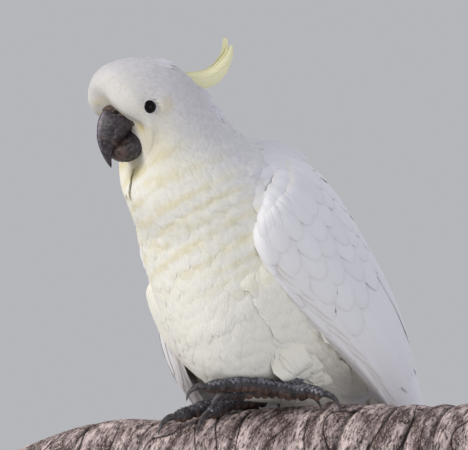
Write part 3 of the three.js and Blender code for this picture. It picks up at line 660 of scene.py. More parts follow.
# top forward, top up, bottom forward, bottom up, half width, sharpness of the ridge
UPPER_BILL = np.array([(138.5, 231, 116, 215, 12, 0.3), (146.5, 226.5, 124, 211, 12.5, 0.4),
                       (151.2, 219, 130, 206, 12, 0.5), (152.2, 210, 136, 201, 10, 0.5),
                       (150.8, 201, 140, 195.5, 7, 0.45), (146.8, 192, 141, 189, 4, 0.4),
                       (141, 182.8, 139.8, 184, 1, 0.3)])
LOWER_BILL = np.array([(112, 212, 114, 196, 11, 0.2), (121, 214, 119.5, 190.5, 13, 0.2),
                       (129, 210.5, 127, 187.5, 13, 0.2), (137, 204, 134.5, 188.5, 11, 0.2),
                       (143, 197, 140, 192, 7, 0.2)])


def horn_rings(sections, along, around, form):
    """Bill surface: ellipses from top to bottom, drawn in beside the ridge, plus a form in millimetres."""
    along, around = np.meshgrid(along, around, indexing="ij")
    top_f, top_u, low_f, low_u, half, ridge = np.moveaxis(run_through(sections, along), -1, 0)
    close = end_rounding(along, 0.06) * end_rounding(1 - along, 0.1)
    turn = 2 * np.pi * around
    height = np.hypot(top_f - low_f, top_u - low_u) / 2
    extra = form(along, around)
    rise = close * np.cos(turn) * (1 + extra / np.maximum(height, 1e-6)) / 2
    pinch = 1 - ridge * np.clip(np.cos(turn), 0, 1)**2
    side = close * np.sin(turn) * (half + extra) * pinch
    return in_row((top_f + low_f) / 2 + rise * (top_f - low_f), side,
                  (top_u + low_u) / 2 + rise * (top_u - low_u), 1.0)


CERE_DEPTH, NOSTRIL_DEPTH = 1.6, 3.2
NOSTRIL = (0.125, 0.145)        # along and around the bill
NOSTRIL_REACH = (0.022, 0.030)


def from_nostril(along, around):
    """Distance from the nearer nostril over its reach."""
    away = np.minimum(np.abs(around - NOSTRIL[1]), np.abs(around - 1 + NOSTRIL[1])) / NOSTRIL_REACH[1]
    return np.hypot(away, (along - NOSTRIL[0]) / NOSTRIL_REACH[0])


def upper_form(along, around):
    """Growth steps across the horn, a shallow hollow on each side above the cutting edge, and nostrils."""
    step = smooth(along, 0.50, 0.535) * (1 - smooth(along, 0.535, 0.7)) * 0.35
    side = np.abs(np.sin(2 * np.pi * around))
    return (step - 0.35 * side**4 * np.exp(-((along - 0.45) / 0.2)**2)
            - NOSTRIL_DEPTH * np.exp(-from_nostril(along, around)**2))


def lower_form(along, around):
    """Worn flat facets round the scoop and a blunt cutting edge."""
    return -0.45 * np.cos(6 * 2 * np.pi * around)**2 * np.exp(-((along - 0.6) / 0.3)**2)


horn_finish, wire, shader = finish_of("bill_horn")
spot = wire.node("ShaderNodeTexCoord", out="Object")
cloud = noise_of(wire, spot, 260.0, 6.0, Roughness=0.62)
worn, ridge = value_of(wire, "worn"), value_of(wire, "ridge")
grain = noise_of(wire, spot, 900.0, 4.0)
flakes = noise_of(wire, spot, 430.0, 7.0, Roughness=0.7, Distortion=0.6)
dark = cloud.between(0.40, 0.64).mix(tint(24, 20, 25), tint(64, 56, 65))
dark = (flakes.between(0.56, 0.66) * 0.75).mix(dark, tint(124, 108, 106))
# painted highlight: a pale lilac streak down the culmen, where the ridge catches the light
dark = (ridge * grain.between(0.3, 0.6)).mix(dark, tint(150, 140, 156))
patch = (worn + (cloud - 0.5) * 1.6).between(0.35, 0.85)
feed(shader, "Base Color", patch.mix(dark, tint(96, 76, 68)))
feed(shader, "Roughness", 0.38 + patch * 0.25 + (grain - 0.5) * 0.2)
emboss(shader, wire, 0.6, 0.0009, cloud + grain * 0.35 + flakes * 0.5)

steps, turns = np.linspace(0.003, 0.997, 90), np.arange(96) / 96
rings = horn_rings(UPPER_BILL, steps, turns, upper_form)
worn_upper = (0.55 * np.exp(-((steps[:, None] - 0.56) / 0.03)**2)
              + 0.35 * smooth(steps[:, None], 0.75, 1.0)
              + 0.45 * smooth(-np.cos(2 * np.pi * turns), 0.2, 0.9)[None, :])
# the culmen's painted highlight runs down the ridge
culmen_highlight = (0.9 * np.exp(-(((turns + 0.47) % 1 - 0.5) / 0.03)**2)[None, :]
               * smooth(steps[:, None], 0.12, 0.25) * (1 - smooth(steps[:, None], 0.55, 0.85)))
points, faces = closed_shell(rings)
add_piece("bill_horn_upper", points, faces, horn_finish, "bill", ("bill_upper",),
          values={"worn": np.concatenate([[0.2], worn_upper.ravel(), [0.5]]),
                  "ridge": np.concatenate([[0.0], culmen_highlight.ravel(), [0.0]])})
steps = np.linspace(0.003, 0.997, 60)
rings = horn_rings(LOWER_BILL, steps, turns, lower_form)
worn_lower = 0.15 + 0.55 * smooth(steps[:, None], 0.35, 0.9) + 0 * turns[None, :]
points, faces = closed_shell(rings)
add_piece("bill_horn_lower", points, faces, horn_finish, "bill", ("bill_lower",),
          values={"worn": np.concatenate([[0.2], worn_lower.ravel(), [0.5]])})


def cere_form(along, around):
    """The collar stands out at the root and sinks into the horn at its edge; nostrils are pits in it."""
    edge = 0.13 + 0.02 * np.cos(4 * np.pi * around) + 0.01 * np.sin(14 * np.pi * around)
    thickness = CERE_DEPTH * (1 - smooth(along, edge, edge + 0.03)) - 0.6 * smooth(along, edge, edge + 0.04)
    pit = np.exp(-from_nostril(along, around)**2)
    rim = np.exp(-((from_nostril(along, around) - 1.7) / 0.5)**2)
    return thickness - NOSTRIL_DEPTH * pit + 0.35 * rim


cere_finish, wire, shader = finish_of("cere_skin", Roughness=0.6)
spot = wire.node("ShaderNodeTexCoord", out="Object")
cloud = noise_of(wire, spot, 700.0, 4.0)
nostril_shade = value_of(wire, "nostril_shade")
skin_tone = cloud.between(0.35, 0.65).mix(tint(58, 48, 44), tint(112, 96, 84))
# painted shade: the nostrils' pits are painted near black
feed(shader, "Base Color", nostril_shade.mix(skin_tone, tint(12, 9, 9)))
emboss(shader, wire, 0.5, 0.0005, cloud)
steps, turns = np.linspace(0.003, 0.19, 60), np.arange(160) / 160
rings = horn_rings(UPPER_BILL, steps, turns, cere_form)
grid_a, grid_b = np.meshgrid(steps, turns, indexing="ij")
# where the nostrils' painted shade falls
nostril_shade = np.exp(-from_nostril(grid_a, grid_b)**2)
points, faces = closed_shell(rings)
add_piece("cere_collar", points, faces, cere_finish, "cere", ("cere",),
          values={"nostril_shade": np.concatenate([[0.0], smooth(nostril_shade, 0.25, 0.5).ravel(), [0.0]])})

# ---------------------------------------------------------------------------
# Body feathers. Each is a thin closed vane with a raised shaft and ragged
# edges, rooted under the coat's surface and lying back along it like a tile.
# They are tiny on the face and grow longer and looser down the breast.
# ---------------------------------------------------------------------------

VANE_RING = np.array([(-1, 0.0), (-0.5, 0.6), (0, 1.0), (0.5, 0.6), (1, 0.0), (0, -0.4)])
TUFT_RING = np.array([(-1, 0.0), (0, 1.0), (1, 0.0), (0, -0.5)])
FLIGHT_RING = np.array([(-1, 0.0), (-0.72, 0.35), (-0.4, 0.62), (-0.12, 0.8), (0, 1.15), (0.12, 0.8),
                        (0.4, 0.62), (0.72, 0.35), (1, 0.0), (0.4, -0.35), (-0.4, -0.35)])
COVERT_STEPS = (0.05, 0.18, 0.32, 0.46, 0.6, 0.72, 0.82, 0.9, 0.96, 0.99)


def vane_outline(share, point, root):
    """Half width along a vane: it grows from the root's over the first half, then closes; point 2 is
    round, 1 is sharp."""
    close = np.clip((share - 0.4) / 0.6, 0, 1)
    return (root + (1 - root) * smooth(share, 0, 0.45)) * (1 - close**point)**(1 / point)


def lay_vanes(shell, along, around, length, half, sink, rise, heading=0.0, camber=0.3, thick=0.16,
              curl=0.0, tilt=0.0, fray=0.12, point=1.8, steps=(0.06, 0.3, 0.55, 0.76, 0.92),
              ring=VANE_RING, seed=1, tone=0.012, base=0.0, droop=0.75, paint=markings, root=0.5):
    """Closed vanes over a shell. A point x across and y along a vane is the shell's point at that
    distance from the root, raised by: less the root's depth times the fifth power of what is left of
    the length, plus the tip's lift times the share squared, which droops again at the very tip, less the
    camber times x squared, plus the ring's height."""
    random = np.random.default_rng(seed)
    count, rings, sides = len(along), len(steps), len(ring)
    length, half, sink, rise, heading, camber, thick, curl, tilt, base = (
        np.broadcast_to(np.asarray(value, float), count)[:, None, None]
        for value in (length, half, sink, rise, heading, camber, thick, curl, tilt, base))
    middle_a, middle_b = along, around
    for _ in range(3):
        _, _, slope_a, slope_b = shell_frame(shell, middle_a, middle_b)
        per_a = np.maximum(np.linalg.norm(slope_a, axis=-1), 1e-3)[:, None, None] * 1000
        per_b = np.maximum(np.linalg.norm(slope_b, axis=-1), 1e-3)[:, None, None] * 1000
        middle_a = np.clip(along + (0.5 * length * np.cos(heading) / per_a)[:, 0, 0], 0.002, 0.998)
        middle_b = around + (0.5 * length * np.sin(heading) / per_b)[:, 0, 0]
    share = np.concatenate([[0.0], np.repeat(steps, sides), [1.0]])[None, :, None]
    across = np.concatenate([[0.0], np.tile(ring[:, 0], rings), [0.0]])[None, :, None]
    height = np.concatenate([[0.0], np.tile(ring[:, 1], rings), [0.0]])[None, :, None]
    width = vane_outline(share, point, root)
    ragged = 1 + fray * random.uniform(-1, 1, (count, share.shape[1], 1))
    x = across * width * half * np.where(np.abs(across) > 0.9, ragged, 1.0)
    y = share * length * (1 + 0.4 * fray * random.uniform(-1, 1, (count, 1, 1)))
    lift = (base - sink * (1 - share)**5 + rise * share**2 * (1 - droop * smooth(share, 0.68, 1.02))
            - camber * (across * width)**2 + tilt * across * width
            + thick * height * (1 - 0.75 * share))
    x = x + curl * share**2 * length
    a = along[:, None, None] + (y * np.cos(heading) + x * shell.side * np.sin(heading)) / per_a
    b = around[:, None, None] + (y * np.sin(heading) - x * shell.side * np.cos(heading)) / per_b
    a = np.clip(a, 0.002, 0.998)
    points, normals, _, _ = shell_frame(shell, a[..., 0], b[..., 0])
    points = points + normals * lift / 1000
    index = np.arange(rings * sides).reshape(rings, sides) + 1
    after = np.roll(index, -1, 1)
    quads = np.stack([index[:-1], after[:-1], after[1:], index[1:]], -1).reshape(-1, 4)
    last = rings * sides + 1
    caps = np.vstack([np.stack([0 * index[0], after[0], index[0]], -1),
                      np.stack([index[-1], after[-1], 0 * index[0] + last], -1)])
    first = (np.arange(count) * (last + 1))[:, None, None]
    patch = np.stack([along[:, None] + across[..., 0] * 0.0015,
                      around[:, None] % 1.0 + (share[..., 0] - 0.5) * 0.003], -1)
    vane = np.stack(np.broadcast_arrays(across[..., 0] / 2 + 0.5, share[..., 0]), -1)
    shade = 1 + tone * random.uniform(-1, 1, (count, 1, 1)) * np.array([1, 1, 1, 0])
    colour = paint(points) * shade
    return {"points": points.reshape(-1, 3),
            "faces": [(quads[None] + first).reshape(-1, 4), (caps[None] + first).reshape(-1, 3)],
            "values": {"markings": colour.reshape(-1, 4)},
            "maps": {"OFBake": np.clip(patch, 0, 1).reshape(-1, 2),
                     "vane": np.broadcast_to(vane, (count,) + vane.shape[1:]).reshape(-1, 2)}}


def coat_piece(name, groups, finish, slot="plumage", replaced=()):
    """One object of several groups of vanes."""
    points, faces = joined([(group["points"], group["faces"]) for group in groups])
    values, maps = ({key: np.concatenate([group[kind][key] for group in groups])
                     for key in groups[0][kind]} for kind in ("values", "maps"))
    add_piece(name, points, faces, finish, slot, replaced, values, maps)


def in_rows(shell, span, row_gap, column_gap, around_span=(0.0, 1.0), seed=2, jitter=0.3):
    """Roots in staggered rows: rows a row gap apart along a shell, roots a column gap apart in a row."""
    random = np.random.default_rng(seed)
    steps = np.linspace(*span, 200)
    turns = np.linspace(*around_span, 49)
    ring = shell(steps[:, None], turns[None, :]) * 1000
    stride = np.linalg.norm(np.diff(ring, axis=0), axis=-1).mean(1)
    girth = np.linalg.norm(np.diff(ring, axis=1), axis=-1).sum(1)
    middle = (steps[1:] + steps[:-1]) / 2
    rows = np.concatenate([[0.0], np.cumsum(stride / row_gap(middle))])
    along, around = [], []
    for row, place in enumerate(np.interp(np.arange(int(rows[-1]) + 1), rows, steps)):
        number = max(int(np.interp(place, steps, girth) / column_gap(place)), 3)
        turn = (np.arange(number) + (row % 2) / 2 + jitter * random.uniform(-0.5, 0.5, number)) / number
        around.append(around_span[0] + turn * (around_span[1] - around_span[0]))
        step = jitter * random.uniform(-0.5, 0.5, number) * (span[1] - span[0]) / max(rows[-1], 1)
        along.append(place + step)
    return np.clip(np.concatenate(along), *span), np.concatenate(around)


def parts_of(wire, vector):
    """The three parts of a vector, a wire each."""
    split = wire.node("ShaderNodeSeparateXYZ", {}, {0: vector}).socket.node
    return [Wire(wire.tree, output) for output in split.outputs]


def plumage_finish(name, root_tint_and_shade, root_reach, barbs, strands=0.3):
    """Feather material: the markings, warmer towards the root, where the feathers' own bases show and painted
    shade fills the gaps between them, and along strands as painted shade between hairs; with barbs raked from
    the shaft and strands that part along the vane."""
    finish, wire, shader = finish_of(name, Roughness=0.75, Specular_IOR_Level=0.2)
    over, share, _ = parts_of(wire, wire.node("ShaderNodeUVMap", {"uv_map": "vane"}))
    across = (over - 0.5).maths("ABSOLUTE")
    marks = value_of(wire, "markings", 0)
    near_root = 1.0 - share.between(0.1, root_reach)
    up = parts_of(wire, wire.node("ShaderNodeTexCoord", out="Object"))[2]
    lie = wire.node("ShaderNodeCombineXYZ", {}, {0: over * 7.0 + up * 90.0, 1: share * 0.9})
    strand = noise_of(wire, lie, 1.6, 4.0, {"noise_dimensions": "2D"}, Roughness=0.6)
    hair = 1.0 - strand.between(0.30, 0.55)
    # painted shade: the root tint is partly the feathers' own warm bases and partly shade in the gaps, and is
    # laid along the strands as shade between hairs
    rooted = (near_root + hair * strands * 0.35).maths("MINIMUM", 1.0)
    feed(shader, "Base Color", rooted.mix(marks, root_tint_and_shade))
    rake = ((share * barbs - across * barbs * 0.7) * 2 * np.pi).maths("SINE")
    shaft = 1.0 - across.between(0.0, 0.05)
    emboss(shader, wire, strands, 0.001, strand * 1.2 + rake * 0.06 + shaft * 0.15)
    return finish


# length, half width, root depth, tip lift and camber of the feathers at each body section
BODY_FEATHERS = np.array([
    (4.0, 0.7, 0.8, 0.06, 0.04), (5.5, 0.9, 1.0, 0.06, 0.04), (7.0, 1.0, 1.2, 0.07, 0.04),
    (8.5, 1.2, 1.3, 0.08, 0.05), (9.5, 1.4, 1.5, 0.10, 0.06), (11, 1.8, 1.8, 0.12, 0.08),
    (14, 2.5, 2.4, 0.18, 0.12), (17, 3.3, 3.0, 0.25, 0.16), (21, 4.2, 3.8, 0.32, 0.20),
    (25, 5.0, 4.4, 0.40, 0.24), (28, 5.4, 4.6, 0.45, 0.26), (31, 5.6, 4.8, 0.50, 0.28),
    (33, 5.6, 5.0, 0.55, 0.28), (34, 5.4, 5.0, 0.60, 0.28), (33, 5.0, 4.0, 0.50, 0.26),
    (30, 4.6, 3.0, 0.40, 0.26)])
BODY_STEPS = (0.06, 0.28, 0.5, 0.68, 0.82, 0.93)
TUFT_STEPS = (0.1, 0.5, 0.85)
ROW_SHARE, COLUMN_SHARE = 0.20, 0.42     # gaps between rows and roots over length and width


def body_feathers(shell, along, around, seed, **looks):
    """Vanes on the body's shell with the sizes of each section, in clumps that lift and turn together."""
    random = np.random.default_rng(seed)
    count = len(along)
    length, half, sink, rise, camber = run_through(BODY_FEATHERS, along).T
    clump = -ripples(shell(along, around), SHADE_BAND_WAVES)     # raised where the painted shade bands are pale
    loose = smooth(along, 0.33, 0.6)
    settings = {"base": 0.35 * loose * clump, "heading": 0.04 * clump
                + (0.05 + 0.05 * loose) * random.normal(size=count)}
    settings.update(looks)
    return lay_vanes(
        shell, along, around, length * random.uniform(0.85, 1.15, count),
        half * random.uniform(0.85, 1.15, count), sink,
        rise * random.uniform(0.8, 3.0, count), camber=camber,
        curl=0.06 * random.normal(size=count) * loose, seed=seed, **settings)


body_along, body_around = in_rows(
    body_shell, (0.010, 0.975), lambda place: run_through(BODY_FEATHERS, place)[..., 0] * ROW_SHARE,
    lambda place: run_through(BODY_FEATHERS, place)[..., 1] * 2 * COLUMN_SHARE, seed=11)
roots = body_shell(body_along, body_around)
tips = body_shell(body_along + 0.013, body_around)
# no feather has its root, middle or tip within these distances of an eye's middle
clear = np.min([np.linalg.norm(place - middle, axis=-1) - bare for middle in eye_middles.values()
                for place, bare in ((roots, 0.0060), ((roots + tips) / 2, 0.0070), (tips, 0.0073))], 0) > 0

soft_finish = plumage_finish("soft_feathers", tint(251, 248, 232), 0.7, 9.0, 0.6)
white_finish = plumage_finish("white_feathers", tint(246, 245, 248), 0.2, 14.0, 0.3)
for name, low, high, looks in (
        ("coat_face", 0.0, 0.13, {"ring": TUFT_RING, "steps": TUFT_STEPS, "thick": 0.07, "tone": 0.06}),
        ("coat_crown", 0.13, 0.25, {"ring": TUFT_RING, "steps": TUFT_STEPS, "thick": 0.09,
                                    "tone": 0.06}),
        ("coat_nape", 0.25, 0.42, {"ring": TUFT_RING, "steps": BODY_STEPS, "thick": 0.12, "fray": 0.2,
                                   "tone": 0.05}),
        ("coat_neck", 0.42, 0.56, {"steps": BODY_STEPS, "thick": 0.14, "fray": 0.22, "tone": 0.03}),
        ("coat_breast", 0.56, 0.70, {"steps": BODY_STEPS, "thick": 0.14, "fray": 0.25}),
        ("coat_belly", 0.70, 0.84, {"steps": BODY_STEPS, "thick": 0.14, "fray": 0.3}),
        ("coat_vent", 0.84, 1.0, {"steps": BODY_STEPS, "thick": 0.14, "fray": 0.3})):
    chosen = (body_along >= low) & (body_along < high) & clear
    coat_piece(name, [body_feathers(body_shell, body_along[chosen], body_around[chosen],
                                    int(100 * high), **looks)], soft_finish)

# ---------------------------------------------------------------------------
# Outer feathers of breast, flanks, thighs and mantle. They are broad, loose and
# hairy at the tip, are rooted in the skin like the finer ones and lie over them
# in soft scallops. A few stand off at the nape and mantle.
# ---------------------------------------------------------------------------

along, around = in_rows(
    body_shell, (0.50, 0.95), lambda place: 7.5 + 5.0 * smooth(place, 0.5, 0.62),
    lambda place: 9.0 + 5.0 * smooth(place, 0.5, 0.62), seed=21, jitter=0.7)
random = np.random.default_rng(22)
count = len(along)
grown_share = smooth(along, 0.48, 0.64)
clump = -ripples(body_shell(along, around), SHADE_BAND_WAVES)
scallops = lay_vanes(
    body_shell, along, around, (18 + 14 * grown_share) * random.uniform(0.85, 1.15, count),
    (4.2 + 3.6 * grown_share) * random.uniform(0.8, 1.2, count), 5.0,
    0.4 + 0.5 * random.uniform(0, 1, count),
    heading=0.12 * random.normal(size=count) + 0.08 * clump,
    camber=0.6, thick=0.10, curl=0.06 * random.normal(size=count), fray=0.45, point=1.8, tone=0.025,
    steps=(0.06, 0.26, 0.44, 0.6, 0.72, 0.82, 0.89, 0.95), ring=FLIGHT_RING, seed=23,
    base=0.4 * clump + 0.1 + 0.06 * random.uniform(-1, 1, count), droop=0.95)
coat_piece("coat_scallops", [scallops], soft_finish)

# flank feathers lean out to the far wing's front edge: along, around, lift, length
FLANK_ROWS = ((0.655, 0.600, 1.5, 34), (0.665, 0.606, 3.0, 40), (0.69, 0.608, 4.0, 50),
              (0.715, 0.614, 4.5, 54), (0.745, 0.612, 4.5, 56), (0.77, 0.618, 4.5, 54),
              (0.80, 0.618, 4.5, 52), (0.825, 0.622, 4.5, 50), (0.85, 0.622, 4.5, 46),
              (0.875, 0.628, 4.5, 40), (0.81, 0.590, 1.5, 46), (0.86, 0.595, 1.5, 40))
flank_along, flank_around, flank_lift, flank_length = np.array(FLANK_ROWS).T
flanks = lay_vanes(
    body_shell, flank_along, flank_around, flank_length, 9.5, flank_lift + 4.0, 0.8, camber=1.6, thick=0.2,
    fray=0.14, tilt=-7.5 * body_shell.side, point=1.9, steps=COVERT_STEPS, ring=FLIGHT_RING, seed=24,
    base=flank_lift, droop=0.8)
FLANK_BULGE = 7.0               # millimetres that the near flank's plumes stand out at their middle


def flank_shell(along, around):
    """Near flank: at each step a curve of degree two from the belly's side (around 0), past a point that
    stands out from the body, to just under the wing's front edge (around 1)."""
    along, around = np.broadcast_arrays(np.asarray(along, float), around)
    sideways = 1000 * (in_row(0.0, 1.0, 0.0, 1.0) - in_row(0.0, 0.0, 0.0, 1.0))
    inner = body_shell(0.66 + 0.30 * along, 0.355 - 0.035 * along)
    middle = body_shell(0.66 + 0.30 * along, 0.285 - 0.040 * along) + FLANK_BULGE / 1000 * sideways
    outer = wing_shell(WING_POSES["left"])(0.15 + 0.46 * along, 1.04 + 0 * along)
    share = around[..., None]
    return (1 - share)**2 * inner + 2 * share * (1 - share) * middle + share**2 * outer


facing_side(flank_shell)
random = np.random.default_rng(29)
fan_along, fan_around = (grid.ravel() for grid in np.meshgrid(np.linspace(0.0, 0.87, 17),
                                                             np.linspace(0.06, 0.66, 7)))
count = len(fan_along)
fan = lay_vanes(
    flank_shell, fan_along + 0.018 * random.uniform(-1, 1, count),
    fan_around + 0.04 * random.uniform(-1, 1, count), 30.0 * random.uniform(0.85, 1.12, count),
    6.5 * random.uniform(0.85, 1.1, count), 4.0, random.uniform(0.5, 1.5, count),
    heading=0.12 * random.normal(size=count), camber=0.7, thick=0.12, fray=0.4, point=1.7, steps=BODY_STEPS,
    ring=FLIGHT_RING, seed=300, base=1.6 - 3.4 * smooth(fan_around, 0.45, 0.8), droop=0.85,
    curl=0.06 * random.normal(size=count))
# loose brushes hang over the foot's root, in two columns
brush_along = np.tile(np.linspace(0.785, 0.85, 12), 2)
brush_around = np.repeat((0.318, 0.345), 12)
count = len(brush_along)
brushes = lay_vanes(
    body_shell, brush_along, brush_around + 0.010 * random.uniform(-1, 1, count),
    38.0 * random.uniform(0.8, 1.1, count), 6.0, 6.0, 13.0 * random.uniform(0.85, 1.1, count),
    heading=-0.06 + 0.07 * random.normal(size=count), camber=0.8, thick=0.12, fray=0.16, point=1.5,
    steps=(0.06, 0.2, 0.34, 0.48, 0.6, 0.72, 0.82, 0.9, 0.96), ring=FLIGHT_RING, seed=301, base=2.5,
    droop=0.7)
# a single column closes the gap at the far wing
far = lay_vanes(
    body_shell, np.linspace(0.78, 0.94, 10), np.full(10, 0.672), 42.0, 6.5, 4.0, 2.4, heading=0.12,
    camber=1.0, thick=0.14, fray=0.3, tilt=-2.4 * body_shell.side, point=1.6, steps=COVERT_STEPS,
    ring=FLIGHT_RING, seed=302, base=1.6, droop=0.5)
coat_piece("coat_flank", [flanks, fan, brushes, far], soft_finish)

for leg, shell in thigh_shells.items():
    along, around = in_rows(shell, (0.14, 0.92), lambda place: 5.0, lambda place: 6.0, seed=25,
                            jitter=0.6)
    random = np.random.default_rng(26)
    coat_piece(f"coat_thigh_{leg}", [lay_vanes(
        shell, along, around, 24.0 * random.uniform(0.8, 1.1, len(along)), 5.0, 3.5, 0.9,
        heading=np.pi + 0.12 * random.normal(size=len(along)), camber=0.5, thick=0.14, fray=0.3, point=1.8,
        steps=BODY_STEPS, seed=27, base=0.4 * random.uniform(-1, 1, len(along)))], soft_finish)

# along, around, length, half width, lift, rise at the tip
LOOSE_FEATHERS = np.array([
    (0.390, 0.062, 15, 4.6, 0.5, 3.4), (0.393, 0.045, 15, 4.6, 0.4, 2.4), (0.396, 0.085, 15, 4.6, 0.4, 2.0),
    (0.415, 0.068, 17, 5.0, 0.6, 4.4), (0.418, 0.050, 17, 5.0, 0.4, 2.6), (0.420, 0.090, 17, 5.0, 0.4, 2.4),
    (0.447, 0.076, 17, 5.2, 0.6, 2.6), (0.475, 0.078, 18, 5.2, 0.4, 1.8), (0.505, 0.080, 22, 5.6, 0.6, 1.8),
    (0.545, 0.082, 26, 6.2, 0.9, 2.4), (0.572, 0.087, 37, 7.4, 2.2, 9.0), (0.567, 0.076, 35, 7.4, 1.8, 7.4),
    (0.575, 0.100, 35, 7.4, 1.8, 6.6), (0.580, 0.065, 32, 7.0, 1.0, 4.6), (0.585, 0.115, 32, 7.0, 1.0, 4.6)])
THROAT_PAINTED_SHADE = np.array([0.91, 0.90, 0.86, 1.0])
loose_along, loose_around, loose_length, loose_half, loose_lift, loose_rise = LOOSE_FEATHERS.T
loose = lay_vanes(
    body_shell, loose_along, loose_around, loose_length, loose_half, 3.0, loose_rise, camber=1.0, thick=0.3,
    fray=0.08, point=1.5, steps=COVERT_STEPS, ring=FLIGHT_RING, seed=28, base=loose_lift, droop=0.1,
    tilt=body_shell.side * (0.4 + 0.35 * loose_rise), tone=0.0)
# a short beard under the bill
random = np.random.default_rng(34)
throat_along, throat_around = (grid.ravel() for grid in np.meshgrid(np.linspace(0.22, 0.33, 5),
                                                                   np.linspace(0.525, 0.625, 6)))
count = len(throat_along)
throat_along = throat_along + 0.010 * random.uniform(-1, 1, count)
throat = lay_vanes(
    body_shell, throat_along, throat_around + 0.006 * random.uniform(-1, 1, count), 14.0, 2.8, 3.5, 0.6,
    heading=0.10 * random.normal(size=count), camber=0.3, thick=0.16, fray=0.25, point=1.7, steps=BODY_STEPS,
    seed=35, base=2.0 - smooth(throat_around, 0.53, 0.57), droop=0.6)
# painted shade on the beard under the bill
throat["values"]["markings"] = throat["values"]["markings"] * THROAT_PAINTED_SHADE
coat_piece("coat_loose", [loose, throat], white_finish)

# mantle feathers lap over the top of each wing
along, around = in_rows(body_shell, (0.53, 0.70), lambda place: 11.0, lambda place: 15.0,
                        (-0.275, 0.275), seed=31, jitter=0.4)
random = np.random.default_rng(32)
count = len(along)
mantle = lay_vanes(
    body_shell, along, around, 35.0 * random.uniform(0.85, 1.15, count),
    10.5 * random.uniform(0.9, 1.1, count), 6.0, 1.0, heading=0.1 * random.normal(size=count),
    camber=1.1, thick=0.18, fray=0.12, point=2.0, steps=COVERT_STEPS, ring=FLIGHT_RING, seed=33,
    base=1.0 + 5.0 * smooth(np.abs(around), 0.07, 0.17) * smooth(along, 0.52, 0.60), droop=0.8)
coat_piece("coat_mantle", [mantle], white_finish)

# ---------------------------------------------------------------------------
# Wings. Both are folded: rows of round-tipped coverts lie like tiles from the
# bend down, over the secondaries, and the primaries reach on below those. The
# shafts are rooted in the arm, a flat limb of the hide inside the wing.
# ---------------------------------------------------------------------------

FLIGHT_STEPS = (0.02, 0.07, 0.14, 0.22, 0.3, 0.38, 0.46, 0.54, 0.62, 0.7, 0.78, 0.85, 0.91, 0.955, 0.985)


def wing_row(shell, along, around, length, half, lift, **looks):
    """A row of large vanes: one root place along the wing and one length, or a value for each vane."""
    around = np.asarray(around, float)
    along = np.broadcast_to(np.asarray(along, float), around.shape).copy()
    settings = {"droop": 0.6, "sink": 2.5, "rise": 0.55, "camber": 0.55, "thick": 0.2,
                "tilt": -shell.side * 0.4, "point": 2.1, "steps": COVERT_STEPS, "ring": FLIGHT_RING,
                "fray": 0.03, "paint": wing_markings}
    settings.update(looks)
    return lay_vanes(shell, along, around, length, half, base=lift, **settings)


# the covert rim and the pale rim are painted shade lines round the coverts' tips and along feather edges; the
# tan rim tints the edge stack tan
TAN_RIM, PALE_SHADE_RIM, COVERT_SHADE_RIM = tint(206, 180, 146), tint(214, 206, 196), tint(206, 198, 190)


def edged(group, strength, colour=TAN_RIM, side=0):
    """A row of vanes with a tinted rim round the tip and along both edges, or along the side given."""
    across, share = np.split(group["maps"]["vane"], 2, axis=1)
    off = np.abs(across - 0.5) if not side else side * (across - 0.5)
    rim = strength * np.maximum(smooth(off, 0.3, 0.5), smooth(share, 0.93, 1.0) * (not side))
    group["values"]["markings"] = group["values"]["markings"] * (1 - rim) + rim * np.array(colour)
    return group


# place along the wing, half width, length and lift of each row of coverts
COVERT_ROWS = ((0.0, 8.5, 30, 1.6), (0.036, 9.5, 36, 1.7), (0.074, 10.5, 42, 1.3), (0.113, 12.0, 48, 0.9),
               (0.152, 13.0, 53, 0.5), (0.190, 14.0, 58, 0.1), (0.226, 15.0, 64, -0.3))
EDGE_WIDTH = 5.0                # millimetres of the edge's stack that the coverts leave bare
EDGE_COVER = 3.0                # and how far they reach over it at the bend


def covert_rows(face, pose, seed):
    """Staggered rows of coverts down the wing's face, each a little different in size, lie and lift."""
    random = np.random.default_rng(seed)
    groups = []
    for row, (along, half, length, lift) in enumerate(COVERT_ROWS):
        _, back_axis, side_axis, start, end, _, _ = wing_section(along + 0.55 * length / WING_LENGTH, pose)
        per_degree = np.radians(1.0) * (back_axis + side_axis) / 2
        edge_width = EDGE_WIDTH * smooth(along, 0.03, 0.12) - EDGE_COVER * (1 - smooth(along, 0.0, 0.08))
        low, high = start - 2 + half / per_degree * 0.4, end - (half * 0.75 + edge_width) / per_degree
        count = int(np.ceil((high - low) * per_degree / (1.4 * half)))
        place = (np.arange(count) + 0.5 * (row % 2)) / (count - 0.5)
        turn = low + (high - low) * place + 0.14 * half / per_degree * random.uniform(-1, 1, count)
        sizes = random.uniform(0.92, 1.08, (2, count))
        starts = np.maximum(along + 0.006 * random.uniform(-1, 1, count), 0.004)
        coverts = wing_row(
            face, starts, turn / 180, length * sizes[0], half * sizes[1],
            lift - 3.0 * (1 - smooth(along, 0.0, 0.04)), heading=0.05 * random.normal(size=count),
            seed=seed + row, camber=0.65, rise=0.35, sink=3.4, droop=0.85, thick=0.22, tilt=-face.side * 0.1,
            tone=0.02, root=0.9)
        # painted shade line round each covert's tip and edges
        groups.append(edged(coverts, 0.22, COVERT_SHADE_RIM))
    return groups


